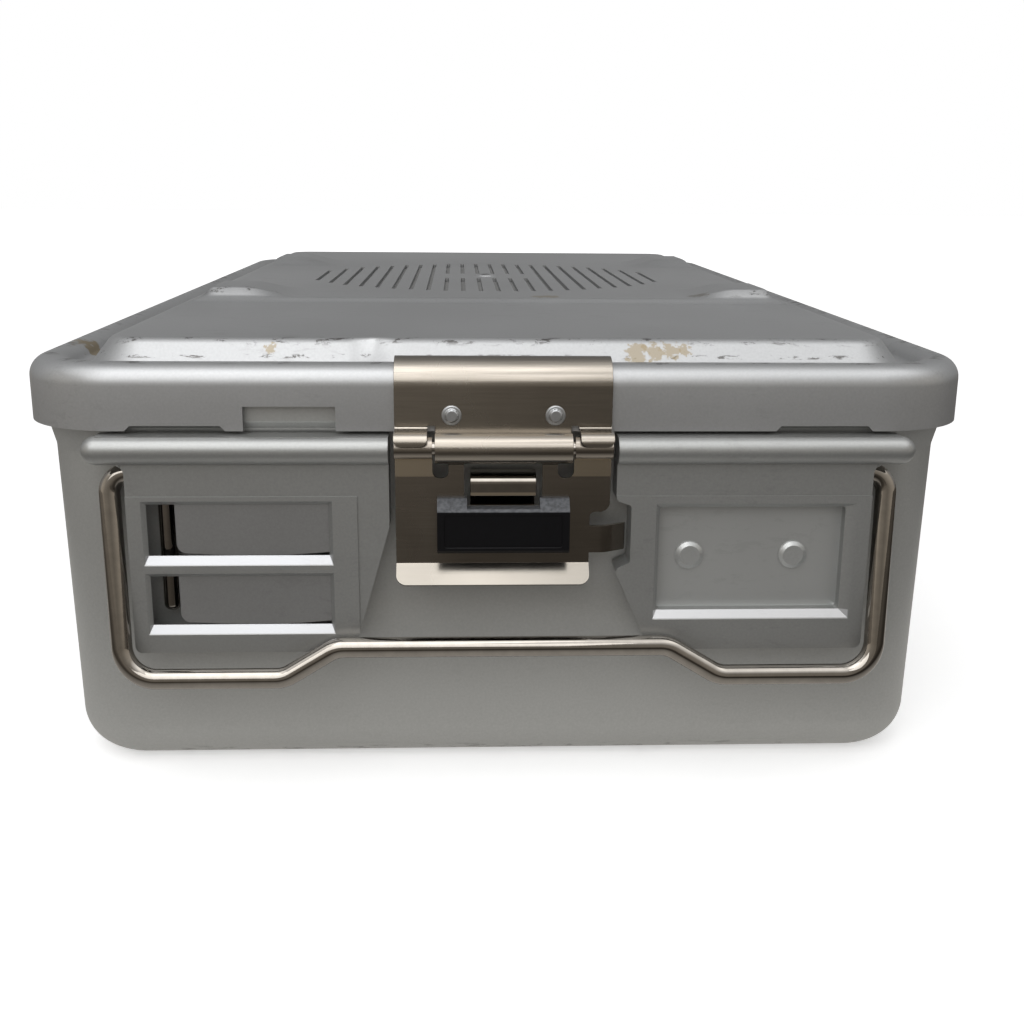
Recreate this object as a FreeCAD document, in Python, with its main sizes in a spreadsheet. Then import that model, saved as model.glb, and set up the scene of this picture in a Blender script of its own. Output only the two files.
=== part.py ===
import FreeCAD, Part
import math
import os
import Sketcher
from FreeCAD import Placement, Rotation, Vector

# Rigid sterilization container of the three-quarter module: a deep-drawn aluminium
# tub, a lid with a perforated field over a filter, and the same latch, handle and
# label holders at both ends. Millimetres. X across, Y along, Z up. The underside
# lies on Z = 0. The front end is the one at -Y, and the rear is the front turned
# half round about Z.

# Driving dimensions: name, value, what it measures.
SIZES = [
    ("lid_length", 476.0, "lid, over the skirt, along Y"),
    ("lid_width", 280.0, "lid, over the skirt, along X"),
    ("lid_corner", 30.0, "outer corner radius of the lid in plan"),
    ("rim_top", 126.0, "height of the lid's raised rim"),
    ("skirt_depth", 19.2, "lid rim top down to the skirt's edge"),
    ("lid_sheet", 1.5, "sheet of the lid"),
    ("rim_round", 6.5, "outer rounding of the rim"),
    ("rim_inner_round", 2.4, "inner rounding of the rim"),
    ("rim_band", 9.3, "width of the raised rim"),
    ("gutter_depth", 4.0, "gutter below the rim top"),
    ("gutter_floor", 3.0, "width of the gutter's floor"),
    ("dome_rise", 4.8, "first plateau above the rim top"),
    ("dome_slope", 7.0, "run of the slope up to the first plateau"),
    ("dome_side", 5.0, "dome further in along the lid's sides"),
    ("ridge_rise", 1.7, "second plateau above the first"),
    ("ridge_slope", 5.5, "run of the slope up to the second plateau"),
    ("ridge_length", 217.0, "second plateau along Y, at its top"),
    ("ridge_margin", 1.0, "first plateau left beside the second"),
    ("ridge_corner", 14.0, "corner radius of the second plateau"),
    ("stack_rise", 3.5, "stacking pads above the second plateau"),
    ("stack_inner", 74.0, "foot of a pad's ramp, from the middle along X"),
    ("stack_ramp", 20.0, "run of a pad's ramps, on its two inner sides"),
    ("stack_edge", 3.0, "run of a pad's slopes, on its two outer sides"),
    ("stack_length", 50.0, "stacking pad along Y, at its foot"),
    ("stack_corner", 8.0, "corner radius of a stacking pad's foot"),
    ("field_radius", 80.0, "perforated field"),
    ("slit_pitch", 7.1, "spacing of the slits"),
    ("slit_width", 1.8, "width of a slit"),
    ("slit_bridge", 28.0, "bridge across the middle slits"),
    ("shallow_relief", 1.5, "shallow relief in the skirt's edge"),
    ("shallow_inner", 80.0, "shallow relief, nearer end from the middle"),
    ("shallow_outer", 105.2, "shallow relief, further end from the middle"),
    ("deep_relief", 7.0, "deep notch in the skirt's edge"),
    ("deep_inner", 47.5, "deep notch, nearer end from the middle"),
    ("deep_outer", 73.5, "deep notch, further end from the middle"),
    ("tub_inset", 6.0, "tub wall in from the lid's face"),
    ("tub_sheet", 2.0, "sheet of the tub"),
    ("tub_draft", 1.0, "draft of the tub's walls, degrees"),
    ("base_round", 14.0, "rounding between wall and base"),
    ("flare_foot", 27.0, "start of the flare below the rim top"),
    ("flare_head", 19.0, "end of the flare below the rim top"),
    ("flare_inset", 4.0, "tub wall in from the lid's face at the flare's end"),
    ("collar_inset", 2.7, "tub's upright collar in from the lid's face"),
    ("collar_rise", 2.0, "height of the step out to the collar"),
    ("gasket_thick", 4.0, "height of the gasket"),
    ("gasket_outer", 3.0, "gasket's outer edge in from the lid's face"),
    ("gasket_room", 0.3, "gap round the gasket"),
    ("bracket_half", 30.9, "latch bracket, half its width"),
    ("bracket_sheet", 1.3, "sheet of the latch bracket and the flap"),
    ("bracket_foot", 17.4, "bracket's edge below the rim top"),
    ("bracket_room", 0.1, "bracket off the lid's sheet"),
    ("barrel_half", 19.4, "hinge barrel, half its length"),
    ("barrel_radius", 4.35, "hinge barrel"),
    ("pin_drop", 23.2, "latch pin below the rim top"),
    ("pin_radius", 2.0, "latch pin"),
    ("pin_room", 0.05, "running room round a pin"),
    ("knuckle_radius", 3.3, "flap's knuckles"),
    ("knuckle_inner", 20.2, "flap's knuckle, inner end from the middle"),
    ("flap_half", 30.8, "flap, half its width"),
    ("flap_foot", 57.6, "flap's bend below the rim top"),
    ("lip_drop", 5.2, "flap's lip, down from the bend"),
    ("lip_out", 4.6, "flap's lip, out from the bend"),
    ("lip_right", 25.0, "flap's lip, right end"),
    ("window_half", 11.2, "flap's window, half its width"),
    ("window_sill", 40.4, "flap's window, lower edge below the rim top"),
    ("strip_half", 15.6, "strips beside the flap's window, outer edge"),
    ("strip_top", 28.4, "strips beside the flap's window, top edge"),
    ("roll_end", 8.6, "end of a knuckle's rolled sheet, below the pin"),
    ("roll_step", 0.3, "step of that end on the flap's front"),
    ("slot_foot", 32.4, "flap's relief slots, lower end"),
    ("seal_top", 42.4, "seal cut-out in the flap, top"),
    ("tongue_top", 46.6, "seal tongue, top"),
    ("tongue_foot", 54.6, "seal tongue, bottom"),
    ("tongue_reach", 35.9, "seal tongue's end from the middle"),
    ("tab_inner", 21.5, "bracket's stop tab, inner end"),
    ("tab_drop", 4.4, "bracket's stop tab, height"),
    ("tab_room", 0.35, "gap between a stop tab and the knuckle under it"),
    ("tab_corner", 2.0, "corner radius of a stop tab"),
    ("lip_corner", 3.0, "corner radius of the flap's lip"),
    ("bracket_rivet_x", 14.7, "bracket rivets from the middle"),
    ("bracket_rivet_drop", 14.4, "bracket rivets below the rim top"),
    ("bracket_rivet_head", 3.0, "radius of a bracket rivet's head"),
    ("rivet_shank", 1.6, "radius of a small rivet's shank"),
    ("block_half", 18.9, "lock block, half its width"),
    ("block_top", 37.7, "lock block's top below the rim top"),
    ("block_foot", 53.5, "lock block's bottom below the rim top"),
    ("block_out", 5.0, "lock block's thickness"),
    ("block_bevel", 3.4, "lock block's upper bevel"),
    ("notch_half", 10.4, "notch in the lock block, half its width"),
    ("panel_depth", 0.4, "bare panel sunk into the lock block"),
    ("peg_radius", 1.5, "lock block's pegs"),
    ("peg_x", 14.0, "lock block's pegs from the middle"),
    ("peg_drop", 47.0, "lock block's pegs below the rim top"),
    ("hook_half", 9.4, "catch hook, half its width"),
    ("hook_sheet", 1.6, "sheet of the catch hook"),
    ("hook_top", 31.0, "catch hook's top below the rim top"),
    ("hook_nose", 37.4, "catch hook's nose below the rim top"),
    ("hook_foot", 60.0, "catch hook's foot below the rim top"),
    ("hook_bite", 2.0, "hook's reach past the flap's back"),
    ("hook_rivet_x", 5.2, "hook rivets from the middle"),
    ("hook_rivet_drop", 52.0, "hook rivets below the rim top"),
    ("tray_inner", 32.6, "label holder, inner edge from the middle"),
    ("tray_outer", 107.0, "label holder, outer edge from the middle"),
    ("tray_top", 20.2, "label holder's top below the rim top"),
    ("tray_foot", 84.4, "label holder's foot below the rim top"),
    ("tray_depth", 9.4, "label holder, wall to front face"),
    ("tray_sheet", 1.4, "wall of the label holder"),
    ("tray_cut_x", 43.4, "holder's slanted corner, foot of the slant"),
    ("tray_cut_top", 46.5, "holder's slanted corner, head of the slant"),
    ("bead_outer", 118.4, "holder's bead, outer end from the middle"),
    ("bead_radius", 4.0, "holder's bead"),
    ("bead_sink", 1.0, "bead's axis behind the holder's front face"),
    ("view_inner", 50.0, "label windows, inner edge from the middle"),
    ("view_outer", 101.6, "label windows, outer edge from the middle"),
    ("view_top_one", 40.0, "upper window, top below the rim top"),
    ("view_foot_one", 55.2, "upper window, bottom"),
    ("view_top_two", 61.4, "lower window, top"),
    ("view_foot_two", 76.2, "lower window, bottom"),
    ("sill_rise", 2.7, "slanted sill under a window"),
    ("window_bevel", 1.2, "bevel at a window's top and sides"),
    ("frame_top", 37.5, "holder's raised frame, top edge below the rim top"),
    ("frame_side", 41.7, "card frame, inner edge from the middle"),
    ("frame_step", 0.5, "height of the holder's raised frame"),
    ("bead_web", 3.2, "concave rounding between bead and holder"),
    ("name_inner", 45.4, "name recess, inner edge"),
    ("name_outer", 99.8, "name recess, outer edge"),
    ("name_top", 41.0, "name recess, top"),
    ("name_foot", 72.4, "name recess, bottom"),
    ("name_depth", 5.0, "name recess, depth"),
    ("name_margin", 3.0, "bevel at the name recess's outer side"),
    ("name_rivet_one", 55.2, "name recess, inner rivet from the middle"),
    ("name_rivet_two", 86.0, "name recess, outer rivet from the middle"),
    ("name_rivet_drop", 56.6, "name recess rivets below the rim top"),
    ("boss_radius", 4.3, "rivet bosses of the holders"),
    ("holder_shank", 2.0, "radius of a holder rivet's shank"),
    ("stud_inner", 39.0, "hidden boss, inner, from the middle"),
    ("stud_inner_drop", 38.6, "hidden boss, inner, below the rim top"),
    ("stud_outer", 60.0, "hidden boss, outer, from the middle"),
    ("seal_notch", 37.0, "seal notch in the holder, its floor"),
    ("seal_notch_top", 40.4, "seal notch, top"),
    ("notch_round", 1.2, "rounding of the seal notch's corners"),
    ("seal_notch_foot", 57.4, "seal notch, bottom"),
    ("stop_rod_radius", 2.5, "label stop rod"),
    ("stop_rod_x", 97.0, "label stop rod from the middle"),
    ("stop_rod_top", 37.4, "label stop rod's top"),
    ("stop_rod_foot", 73.4, "label stop rod's foot"),
    ("spring_sheet", 0.8, "sheet of the card spring"),
    ("spring_room", 0.3, "card spring off the holder's sheet"),
    ("wire_radius", 3.0, "handle wire"),
    ("wire_room", 0.08, "running room round the handle's arms"),
    ("pivot_drop", 31.6, "handle pivot below the rim top"),
    ("pivot_out", 4.2, "handle pivot out from the tub's wall"),
    ("arm_end", 72.0, "handle arm's inner end from the middle"),
    ("leg_top", 112.5, "handle leg at the pivot, from the middle"),
    ("leg_foot", 109.5, "handle leg at its foot, from the middle"),
    ("leg_bend", 5.5, "bend at the top of the legs"),
    ("corner_bend", 10.0, "bend at the foot of the legs"),
    ("grip_bend", 9.0, "bends beside the grip"),
    ("grip_drop", 51.0, "grip below the pivot"),
    ("side_drop", 59.9, "side runs below the pivot"),
    ("side_inner", 63.5, "side run's inner end from the middle"),
    ("grip_half", 48.5, "grip, half its length"),
    ("handle_tilt", 9.9, "lean of the hanging handle, degrees"),
    ("rib_width", 3.0, "bearing ribs in the holders"),
    ("rib_outer", 103.6, "outer bearing rib from the middle"),
    ("rib_inner", 79.0, "inner bearing rib from the middle"),
    ("paper_radius", 92.0, "filter paper"),
    ("paper_thick", 0.5, "filter paper"),
    ("paper_room", 0.1, "filter paper off the lid"),
    ("retainer_radius", 93.0, "filter retainer"),
    ("retainer_sheet", 1.2, "sheet of the filter retainer"),
    ("retainer_rim", 4.0, "turned-down edge of the retainer"),
    ("retainer_hole", 6.0, "radius of a hole in the retainer"),
    ("retainer_ring_one", 36.0, "inner ring of holes"),
    ("retainer_ring_two", 62.0, "outer ring of holes"),
    ("stud_radius", 3.0, "filter stud"),
    ("stud_head", 5.0, "filter stud's head"),
    ("stud_cap", 7.0, "filter stud's end cap"),
    ("knob_radius", 17.0, "retainer knob"),
    ("knob_thick", 7.0, "retainer knob"),
    ("knob_wing", 12.0, "width of the retainer knob's wings"),
    ("knob_hub", 9.0, "hub of the retainer knob"),
    ("cup_radius", 13.0, "spring washer under the knob"),
    ("cup_sheet", 0.6, "sheet of the spring washer"),
    ("cup_rise", 1.6, "height of the spring washer"),
]

doc = FreeCAD.newDocument("sterilization_container")
sheet = doc.addObject("Spreadsheet::Sheet", "Sizes")
sheet.Label = "Sizes"


class Dim:
    """A size with its number and the expression that gives it from the sheet."""

    def __init__(self, text, value):
        self.text = text
        self.value = value

    def __add__(self, other):
        other = as_dim(other)
        return Dim("(%s + %s)" % (self.text, other.text), self.value + other.value)

    def __sub__(self, other):
        other = as_dim(other)
        return Dim("(%s - %s)" % (self.text, other.text), self.value - other.value)

    def __mul__(self, other):
        other = as_dim(other)
        return Dim("(%s * %s)" % (self.text, other.text), self.value * other.value)

    def __truediv__(self, other):
        other = as_dim(other)
        return Dim("(%s / %s)" % (self.text, other.text), self.value / other.value)

    def __neg__(self):
        return Dim("(0 - %s)" % self.text, -self.value)

    def __radd__(self, other):
        return as_dim(other) + self

    def __rsub__(self, other):
        return as_dim(other) - self

    def __rmul__(self, other):
        return as_dim(other) * self


def as_dim(size):
    return size if isinstance(size, Dim) else Dim(repr(float(size)), float(size))


def tangent(angle):
    """Tangent of an angle that the sheet holds in degrees."""
    return Dim("tan(%s * 1deg)" % angle.text, math.tan(math.radians(angle.value)))


class Named:
    """Every size of the sheet as an attribute."""


size = Named()
for row, (alias, value, meaning) in enumerate(SIZES, start=1):
    sheet.set("A%d" % row, alias)
    sheet.set("B%d" % row, str(value))
    sheet.set("C%d" % row, meaning)
    sheet.setAlias("B%d" % row, alias)
    setattr(size, alias, Dim("Sizes.%s" % alias, value))
doc.recompute()


def bind(thing, name, dim):
    """Tie a property of an object to the sheet."""
    thing.setExpression(name, as_dim(dim).text)


def put(thing, x=0, y=0, z=0):
    """Tie an object's place to the sheet, and leave its turn alone."""
    bind(thing, "Placement.Base.x", x)
    bind(thing, "Placement.Base.y", y)
    bind(thing, "Placement.Base.z", z)


def new_body(name):
    body = doc.addObject("PartDesign::Body", name)
    body.Label = name
    return body


def sketch_on(body, name, role, offset):
    """A sketch on one of the body's own planes, moved along the plane's normal."""
    sketch = body.newObject("Sketcher::SketchObject", name)
    plane = [item for item in body.Origin.OriginFeatures if item.Role == role][0]
    sketch.AttachmentSupport = [(plane, "")]
    sketch.MapMode = "FlatFace"
    bind(sketch, "AttachmentOffset.Base.z", offset)
    return sketch


def hold(sketch, dim, kind, *where):
    """Add one dimension to a sketch and tie it to the sheet."""
    dim = as_dim(dim)
    index = sketch.addConstraint(Sketcher.Constraint(kind, *where, dim.value))
    sketch.setExpression("Constraints[%d]" % index, dim.text)


def hold_point(sketch, geometry, point, x, y):
    hold(sketch, x, "DistanceX", -1, 1, geometry, point)
    hold(sketch, y, "DistanceY", -1, 1, geometry, point)


def bend(before, corner, after, radius):
    """Tangent points, centre, and sense of turn of an arc that rounds a corner."""
    towards_before = (before - corner).normalize()
    towards_after = (after - corner).normalize()
    half = towards_before.getAngle(towards_after) / 2
    reach = radius / math.tan(half)
    start = corner + towards_before * reach
    end = corner + towards_after * reach
    middle = corner + (towards_before + towards_after).normalize() * (radius / math.sin(half))
    left_turn = towards_before.cross(towards_after).z < 0
    return start, end, middle, left_turn


def outline(sketch, corners, closed=True):
    """Straight runs through corners (x, y) or (x, y, radius), with tangent arcs."""
    count = len(corners)
    spots = [Vector(as_dim(c[0]).value, as_dim(c[1]).value, 0) for c in corners]
    radii = [as_dim(c[2]) if len(c) > 2 else None for c in corners]
    arcs = {}
    for i in range(count):
        if radii[i] is not None:
            arcs[i] = bend(spots[i - 1], spots[i], spots[(i + 1) % count], radii[i].value)
    runs = count if closed else count - 1
    lines = []
    for i in range(runs):
        j = (i + 1) % count
        start = arcs[i][1] if i in arcs else spots[i]
        end = arcs[j][0] if j in arcs else spots[j]
        lines.append(sketch.addGeometry(Part.LineSegment(start, end)))
    for i in range(count):
        inner = closed or 0 < i < count - 1
        before = lines[(i - 1) % len(lines)]
        if i in arcs:
            start, end, middle, left_turn = arcs[i]
            first, last = (start, end) if left_turn else (end, start)
            begin = math.atan2(first.y - middle.y, first.x - middle.x)
            finish = math.atan2(last.y - middle.y, last.x - middle.x)
            circle = Part.Circle(middle, Vector(0, 0, 1), radii[i].value)
            arc = sketch.addGeometry(Part.ArcOfCircle(circle, begin, finish))
            sketch.addConstraint(Sketcher.Constraint(
                "Tangent", before, 2, arc, 1 if left_turn else 2))
            sketch.addConstraint(Sketcher.Constraint(
                "Tangent", lines[i], 1, arc, 2 if left_turn else 1))
            hold(sketch, radii[i], "Radius", arc)
            tip = sketch.addGeometry(Part.Point(spots[i]), True)
            hold_point(sketch, tip, 1, corners[i][0], corners[i][1])
            sketch.addConstraint(Sketcher.Constraint("PointOnObject", tip, 1, before))
            sketch.addConstraint(Sketcher.Constraint("PointOnObject", tip, 1, lines[i]))
        elif inner:
            sketch.addConstraint(Sketcher.Constraint("Coincident", before, 2, lines[i], 1))
            hold_point(sketch, lines[i], 1, corners[i][0], corners[i][1])
        elif i == 0:
            hold_point(sketch, lines[0], 1, corners[0][0], corners[0][1])
        else:
            hold_point(sketch, lines[-1], 2, corners[i][0], corners[i][1])


def rectangle(sketch, left, bottom, right, top, radius=None):
    corners = [(left, bottom), (right, bottom), (right, top), (left, top)]
    if radius is not None:
        corners = [(x, y, radius) for x, y in corners]
    outline(sketch, corners)


def circle(sketch, x, y, radius):
    x, y, radius = as_dim(x), as_dim(y), as_dim(radius)
    centre = Vector(x.value, y.value, 0)
    ring = sketch.addGeometry(Part.Circle(centre, Vector(0, 0, 1), radius.value))
    hold_point(sketch, ring, 3, x, y)
    hold(sketch, radius, "Radius", ring)


def feature(body, kind, name, profile, length, backwards=False):
    """Pad or Pocket of one sketch."""
    made = body.newObject("PartDesign::" + kind, name)
    made.Profile = profile
    made.Reversed = backwards
    bind(made, "Length", length)
    profile.Visibility = False
    body.Tip = made
    return made


def loft(body, kind, name, sections):
    """Ruled loft, run from the highest section down so that its faces point out."""
    made = body.newObject("PartDesign::" + kind, name)
    made.Profile = sections[-1]
    made.Sections = sections[-2::-1]
    made.Ruled = True
    body.Tip = made
    return made


def block(body, kind, name, low, high):
    """AdditiveBox or SubtractiveBox between two corners."""
    made = body.newObject("PartDesign::" + kind, name)
    for length, place, a, b in zip(("Length", "Width", "Height"), "xyz", low, high):
        bind(made, length, as_dim(b) - a)
        bind(made, "Placement.Base.%s" % place, a)
    body.Tip = made
    return made


def rod_along_x(body, kind, name, radius, start, end, y, z):
    """AdditiveCylinder or SubtractiveCylinder that lies along X."""
    made = body.newObject("PartDesign::" + kind, name)
    bind(made, "Radius", radius)
    bind(made, "Height", as_dim(end) - start)
    made.Placement = Placement(Vector(0, 0, 0), Rotation(Vector(0, 1, 0), 90))
    put(made, start, y, z)
    body.Tip = made
    return made


def rounded(body, name, radius, wanted):
    """Fillet of the tip's edges whose middle point passes the test."""
    doc.recompute()
    base = body.Tip
    names = []
    for number, edge in enumerate(base.Shape.Edges, start=1):
        middle = edge.valueAt((edge.FirstParameter + edge.LastParameter) / 2)
        if wanted(edge, middle):
            names.append("Edge%d" % number)
    made = body.newObject("PartDesign::Fillet", name)
    made.Base = (base, names)
    bind(made, "Radius", radius)
    body.Tip = made
    return made


def half_turn(body, name, cut):
    """The same cut at both ends of the container."""
    made = body.newObject("PartDesign::PolarPattern", name)
    made.Originals = [cut]
    axis = [item for item in body.Origin.OriginFeatures if item.Role == "Z_Axis"][0]
    made.Axis = (axis, [""])
    made.Angle = 360
    made.Occurrences = 2
    body.Tip = made
    return made


def level(edge, height):
    """True for an edge that lies in one horizontal plane."""
    return all(abs(vertex.Z - height) < 0.01 for vertex in edge.Vertexes)


# Heights and planes that several pieces share.
face = -size.lid_length / 2
side = size.lid_width / 2
wall = face + size.tub_inset
skirt_edge = size.rim_top - size.skirt_depth
gasket_foot = size.rim_top - size.lid_sheet - size.gasket_room - size.gasket_thick
collar_top = gasket_foot - size.gasket_room
flare_foot = size.rim_top - size.flare_foot
flare_head = size.rim_top - size.flare_head
draft_run = tangent(size.tub_draft)
ridge_top = size.rim_top + size.dome_rise + size.ridge_rise

pieces = []


def wall_at(drop):
    """Y of the tub's end wall, a distance below the rim top."""
    return wall + (drop - size.flare_foot) * draft_run


def below(drop):
    return size.rim_top - drop


def at_end(thing, end):
    """Keep a piece of one end, turned half round for the rear."""
    if end == "rear":
        thing.Placement = Placement(Vector(0, 0, 0), Rotation(Vector(0, 0, 1), 180))
    pieces.append(thing)


def plan_outline(body, name, height, inset, further=0):
    """Rounded rectangle of the lid's plan, drawn in by an inset, further along X."""
    sketch = sketch_on(body, name, "XY_Plane", height)
    x = side - inset - further
    y = size.lid_length / 2 - inset
    rectangle(sketch, -x, -y, x, y, size.lid_corner - inset)
    return sketch


def tub_sections(body, name, inwards, lowest, highest):
    """Plan outlines of the tub from its base to its collar."""
    drawn_in = size.tub_inset + flare_foot * draft_run
    levels = [
        (lowest, drawn_in - (lowest if inwards is not None else 0) * draft_run),
        (flare_foot, size.tub_inset),
        (flare_head, size.flare_inset),
        (flare_head + size.collar_rise, size.collar_inset),
        (highest, size.collar_inset),
    ]
    step = inwards if inwards is not None else 0
    return [plan_outline(body, "%s_%d" % (name, number), height, inset + step)
            for number, (height, inset) in enumerate(levels)]


def make_container_bottom():
    """Deep-drawn tub: drafted walls, rounded base, flare and upright collar."""
    body = new_body("container_bottom")
    outside = tub_sections(body, "outside", None, as_dim(0), collar_top)
    loft(body, "AdditiveLoft", "drawn_form", outside)
    inside = tub_sections(body, "inside", size.tub_sheet, size.tub_sheet, collar_top + 1)
    loft(body, "SubtractiveLoft", "hollow", inside)
    floor = size.tub_sheet.value
    rounded(body, "inner_rounding", size.base_round - size.tub_sheet,
            lambda edge, middle: level(edge, floor))
    rounded(body, "base_rounding", size.base_round, lambda edge, middle: level(edge, 0))
    holes = sketch_on(body, "rivet_holes", "XZ_Plane", -face)
    for x, drop, radius in end_rivets():
        circle(holes, x, below(drop), radius + size.pin_room)
    cut = feature(body, "Pocket", "rivet_hole_cut", holes, 20)
    half_turn(body, "rivet_holes_both_ends", cut)
    pieces.append(body)


def end_rivets():
    """Rivets through the front end wall: x, drop below the rim, shank radius."""
    return [
        (size.name_rivet_one, size.name_rivet_drop, size.holder_shank),
        (size.name_rivet_two, size.name_rivet_drop, size.holder_shank),
        (-size.stud_inner, size.stud_inner_drop, size.holder_shank),
        (-size.stud_outer, size.pivot_drop, size.holder_shank),
        (-size.hook_rivet_x, size.hook_rivet_drop, size.rivet_shank),
        (size.hook_rivet_x, size.hook_rivet_drop, size.rivet_shank),
    ]


def ridge_outline(body, name, height, drawn_in):
    """The second plateau's plan, across the dome and short of its ends."""
    sketch = sketch_on(body, name, "XY_Plane", height)
    dome_edge = size.rim_band + size.gutter_floor + size.dome_slope + size.dome_side
    x = side - dome_edge - size.ridge_margin - drawn_in
    y = size.ridge_length / 2 + size.ridge_slope - drawn_in
    rectangle(sketch, -x, -y, x, y, size.ridge_corner - drawn_in)
    return sketch


def make_lid_shell():
    """Pressed lid: skirt, raised rim, gutter, stepped dome, pads and slits."""
    body = new_body("lid_shell")
    skirt = plan_outline(body, "skirt_plan", skirt_edge, 0)
    feature(body, "Pad", "blank", skirt, size.skirt_depth)
    top = size.rim_top.value

    # The underside follows the outside, one sheet further in.
    under = plan_outline(body, "under_plan", skirt_edge, size.lid_sheet)
    depth = size.skirt_depth - size.gutter_depth - size.lid_sheet
    feature(body, "Pocket", "under_hollow", under, depth, True)
    channel = plan_outline(body, "channel_plan", skirt_edge + depth, size.lid_sheet)
    inner = size.rim_band - size.lid_sheet
    x = side - inner
    y = size.lid_length / 2 - inner
    rectangle(channel, -x, -y, x, y, size.lid_corner - inner)
    feature(body, "Pocket", "gasket_channel", channel, size.gutter_depth, True)
    crown = top - size.lid_sheet.value
    rounded(body, "channel_rounding", size.rim_round - size.lid_sheet,
            lambda edge, middle: level(edge, crown) and not inside_plan(edge, inner.value - 1))

    rounded(body, "rim_rounding", size.rim_round, lambda edge, middle: level(edge, top))
    gutter = plan_outline(body, "gutter_plan", size.rim_top, size.rim_band)
    feature(body, "Pocket", "gutter", gutter, size.gutter_depth)
    rounded(body, "rim_inner_rounding", size.rim_inner_round,
            lambda edge, middle: level(edge, top) and inside_plan(edge, size.rim_band.value))
    foot = size.rim_band + size.gutter_floor
    head = foot + size.dome_slope
    plateau = size.rim_top + size.dome_rise
    loft(body, "AdditiveLoft", "dome", [
        plan_outline(body, "dome_foot", size.rim_top - size.gutter_depth, foot, size.dome_side),
        plan_outline(body, "dome_head", plateau, head, size.dome_side)])
    loft(body, "AdditiveLoft", "ridge", [
        ridge_outline(body, "ridge_foot", plateau, 0),
        ridge_outline(body, "ridge_head", ridge_top, size.ridge_slope)])
    make_stack_pads(body, head)
    deep = size.rim_top - size.gutter_depth - size.lid_sheet
    loft(body, "SubtractiveLoft", "dome_hollow", [
        plan_outline(body, "dome_under_foot", deep, foot + size.lid_sheet, size.dome_side),
        plan_outline(body, "dome_under_head", plateau - size.lid_sheet,
                     head + size.lid_sheet, size.dome_side)])
    loft(body, "SubtractiveLoft", "ridge_hollow", [
        ridge_outline(body, "ridge_under_foot", plateau - size.lid_sheet, size.lid_sheet),
        ridge_outline(body, "ridge_under_head", ridge_top - size.lid_sheet,
                      size.ridge_slope + size.lid_sheet)])
    make_slits(body)
    make_skirt_reliefs(body)
    pieces.append(body)


def inside_plan(edge, inset):
    """True where an edge lies on or inside the plan outline with this inset."""
    x_limit = side.value - inset + 0.01
    y_limit = size.lid_length.value / 2 - inset + 0.01
    return all(abs(v.X) <= x_limit and abs(v.Y) <= y_limit for v in edge.Vertexes)


def make_stack_pads(body, dome_head):
    """Four low pads at the second plateau's corners, each with ramps inwards."""
    dome_edge = dome_head + size.dome_side + size.ridge_margin + size.ridge_slope
    far_x = side - dome_edge - 0.2
    far_y = size.ridge_length / 2 - 0.2
    near_y = far_y - size.stack_length
    for sign in (-1, 1):
        name = "stack_pad_left" if sign < 0 else "stack_pad_right"
        foot = sketch_on(body, name + "_foot", "XY_Plane", ridge_top - 0.4)
        head = sketch_on(body, name + "_head", "XY_Plane", ridge_top + size.stack_rise)
        for sketch, out, run, radius in (
                (foot, as_dim(0), as_dim(0), size.stack_corner),
                (head, size.stack_edge, size.stack_ramp, size.stack_corner / 2)):
            inner, outer = size.stack_inner + run, far_x - out
            left, right = (-outer, -inner) if sign < 0 else (inner, outer)
            rectangle(sketch, left, out - far_y, right, -near_y - run, radius)
        pad = loft(body, "AdditiveLoft", name, [foot, head])
        half_turn(body, name + "_rear", pad)


def make_slits(body):
    """Slits along Y that fill a round field; the middle ones stop at a bridge."""
    sketch = sketch_on(body, "slit_field", "XY_Plane", ridge_top)
    columns = 22
    bridged = 6
    half = size.slit_width / 2
    for column in range(columns):
        offset = column - (columns - 1) / 2
        x = size.slit_pitch * offset
        reach = math.sqrt(size.field_radius.value ** 2 - x.value ** 2)
        end = Dim("sqrt(%s ^ 2 - %s ^ 2)" % (size.field_radius.text, x.text), reach)
        if abs(offset) < bridged / 2:
            near = size.slit_bridge / 2
            rectangle(sketch, x - half, near, x + half, end)
            rectangle(sketch, x - half, -end, x + half, -near)
        else:
            rectangle(sketch, x - half, -end, x + half, end)
    circle(sketch, 0, 0, size.stud_radius + size.pin_room)
    feature(body, "Pocket", "slits", sketch, size.lid_sheet + 1)


def make_skirt_reliefs(body):
    """Reliefs in the skirt's edge at both ends, and the bracket's rivet holes."""
    reliefs = sketch_on(body, "relief_outlines", "XZ_Plane", -face)
    low = skirt_edge - 1
    for sign in (-1, 1):
        near = size.shallow_inner * sign
        far = size.shallow_outer * sign
        top = skirt_edge + size.shallow_relief
        slope = size.shallow_relief * sign
        corners = [(near - slope, low), (near, top), (far, top), (far + slope, low)]
        outline(reliefs, corners if sign < 0 else corners[::-1])
    rectangle(reliefs, -size.deep_outer, low, -size.deep_inner, skirt_edge + size.deep_relief)
    for sign in (-1, 1):
        circle(reliefs, size.bracket_rivet_x * sign, below(size.bracket_rivet_drop),
               size.rivet_shank + size.pin_room)
    cut = feature(body, "Pocket", "relief_cut", reliefs, size.lid_sheet + 1)
    half_turn(body, "reliefs_both_ends", cut)


def make_lid_gasket():
    """Moulded silicone ring in the rim's channel."""
    body = new_body("lid_gasket")
    head = gasket_foot + size.gasket_thick
    inner = size.rim_band - size.lid_sheet - size.gasket_room
    loft(body, "AdditiveLoft", "ring_form", [
        plan_outline(body, "ring_foot", gasket_foot, size.gasket_outer),
        plan_outline(body, "ring_head", head, size.gasket_outer + 1.8)])
    hole = plan_outline(body, "ring_hole", gasket_foot, inner)
    feature(body, "Pocket", "ring_opening", hole, size.gasket_thick, True)
    pieces.append(body)


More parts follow.
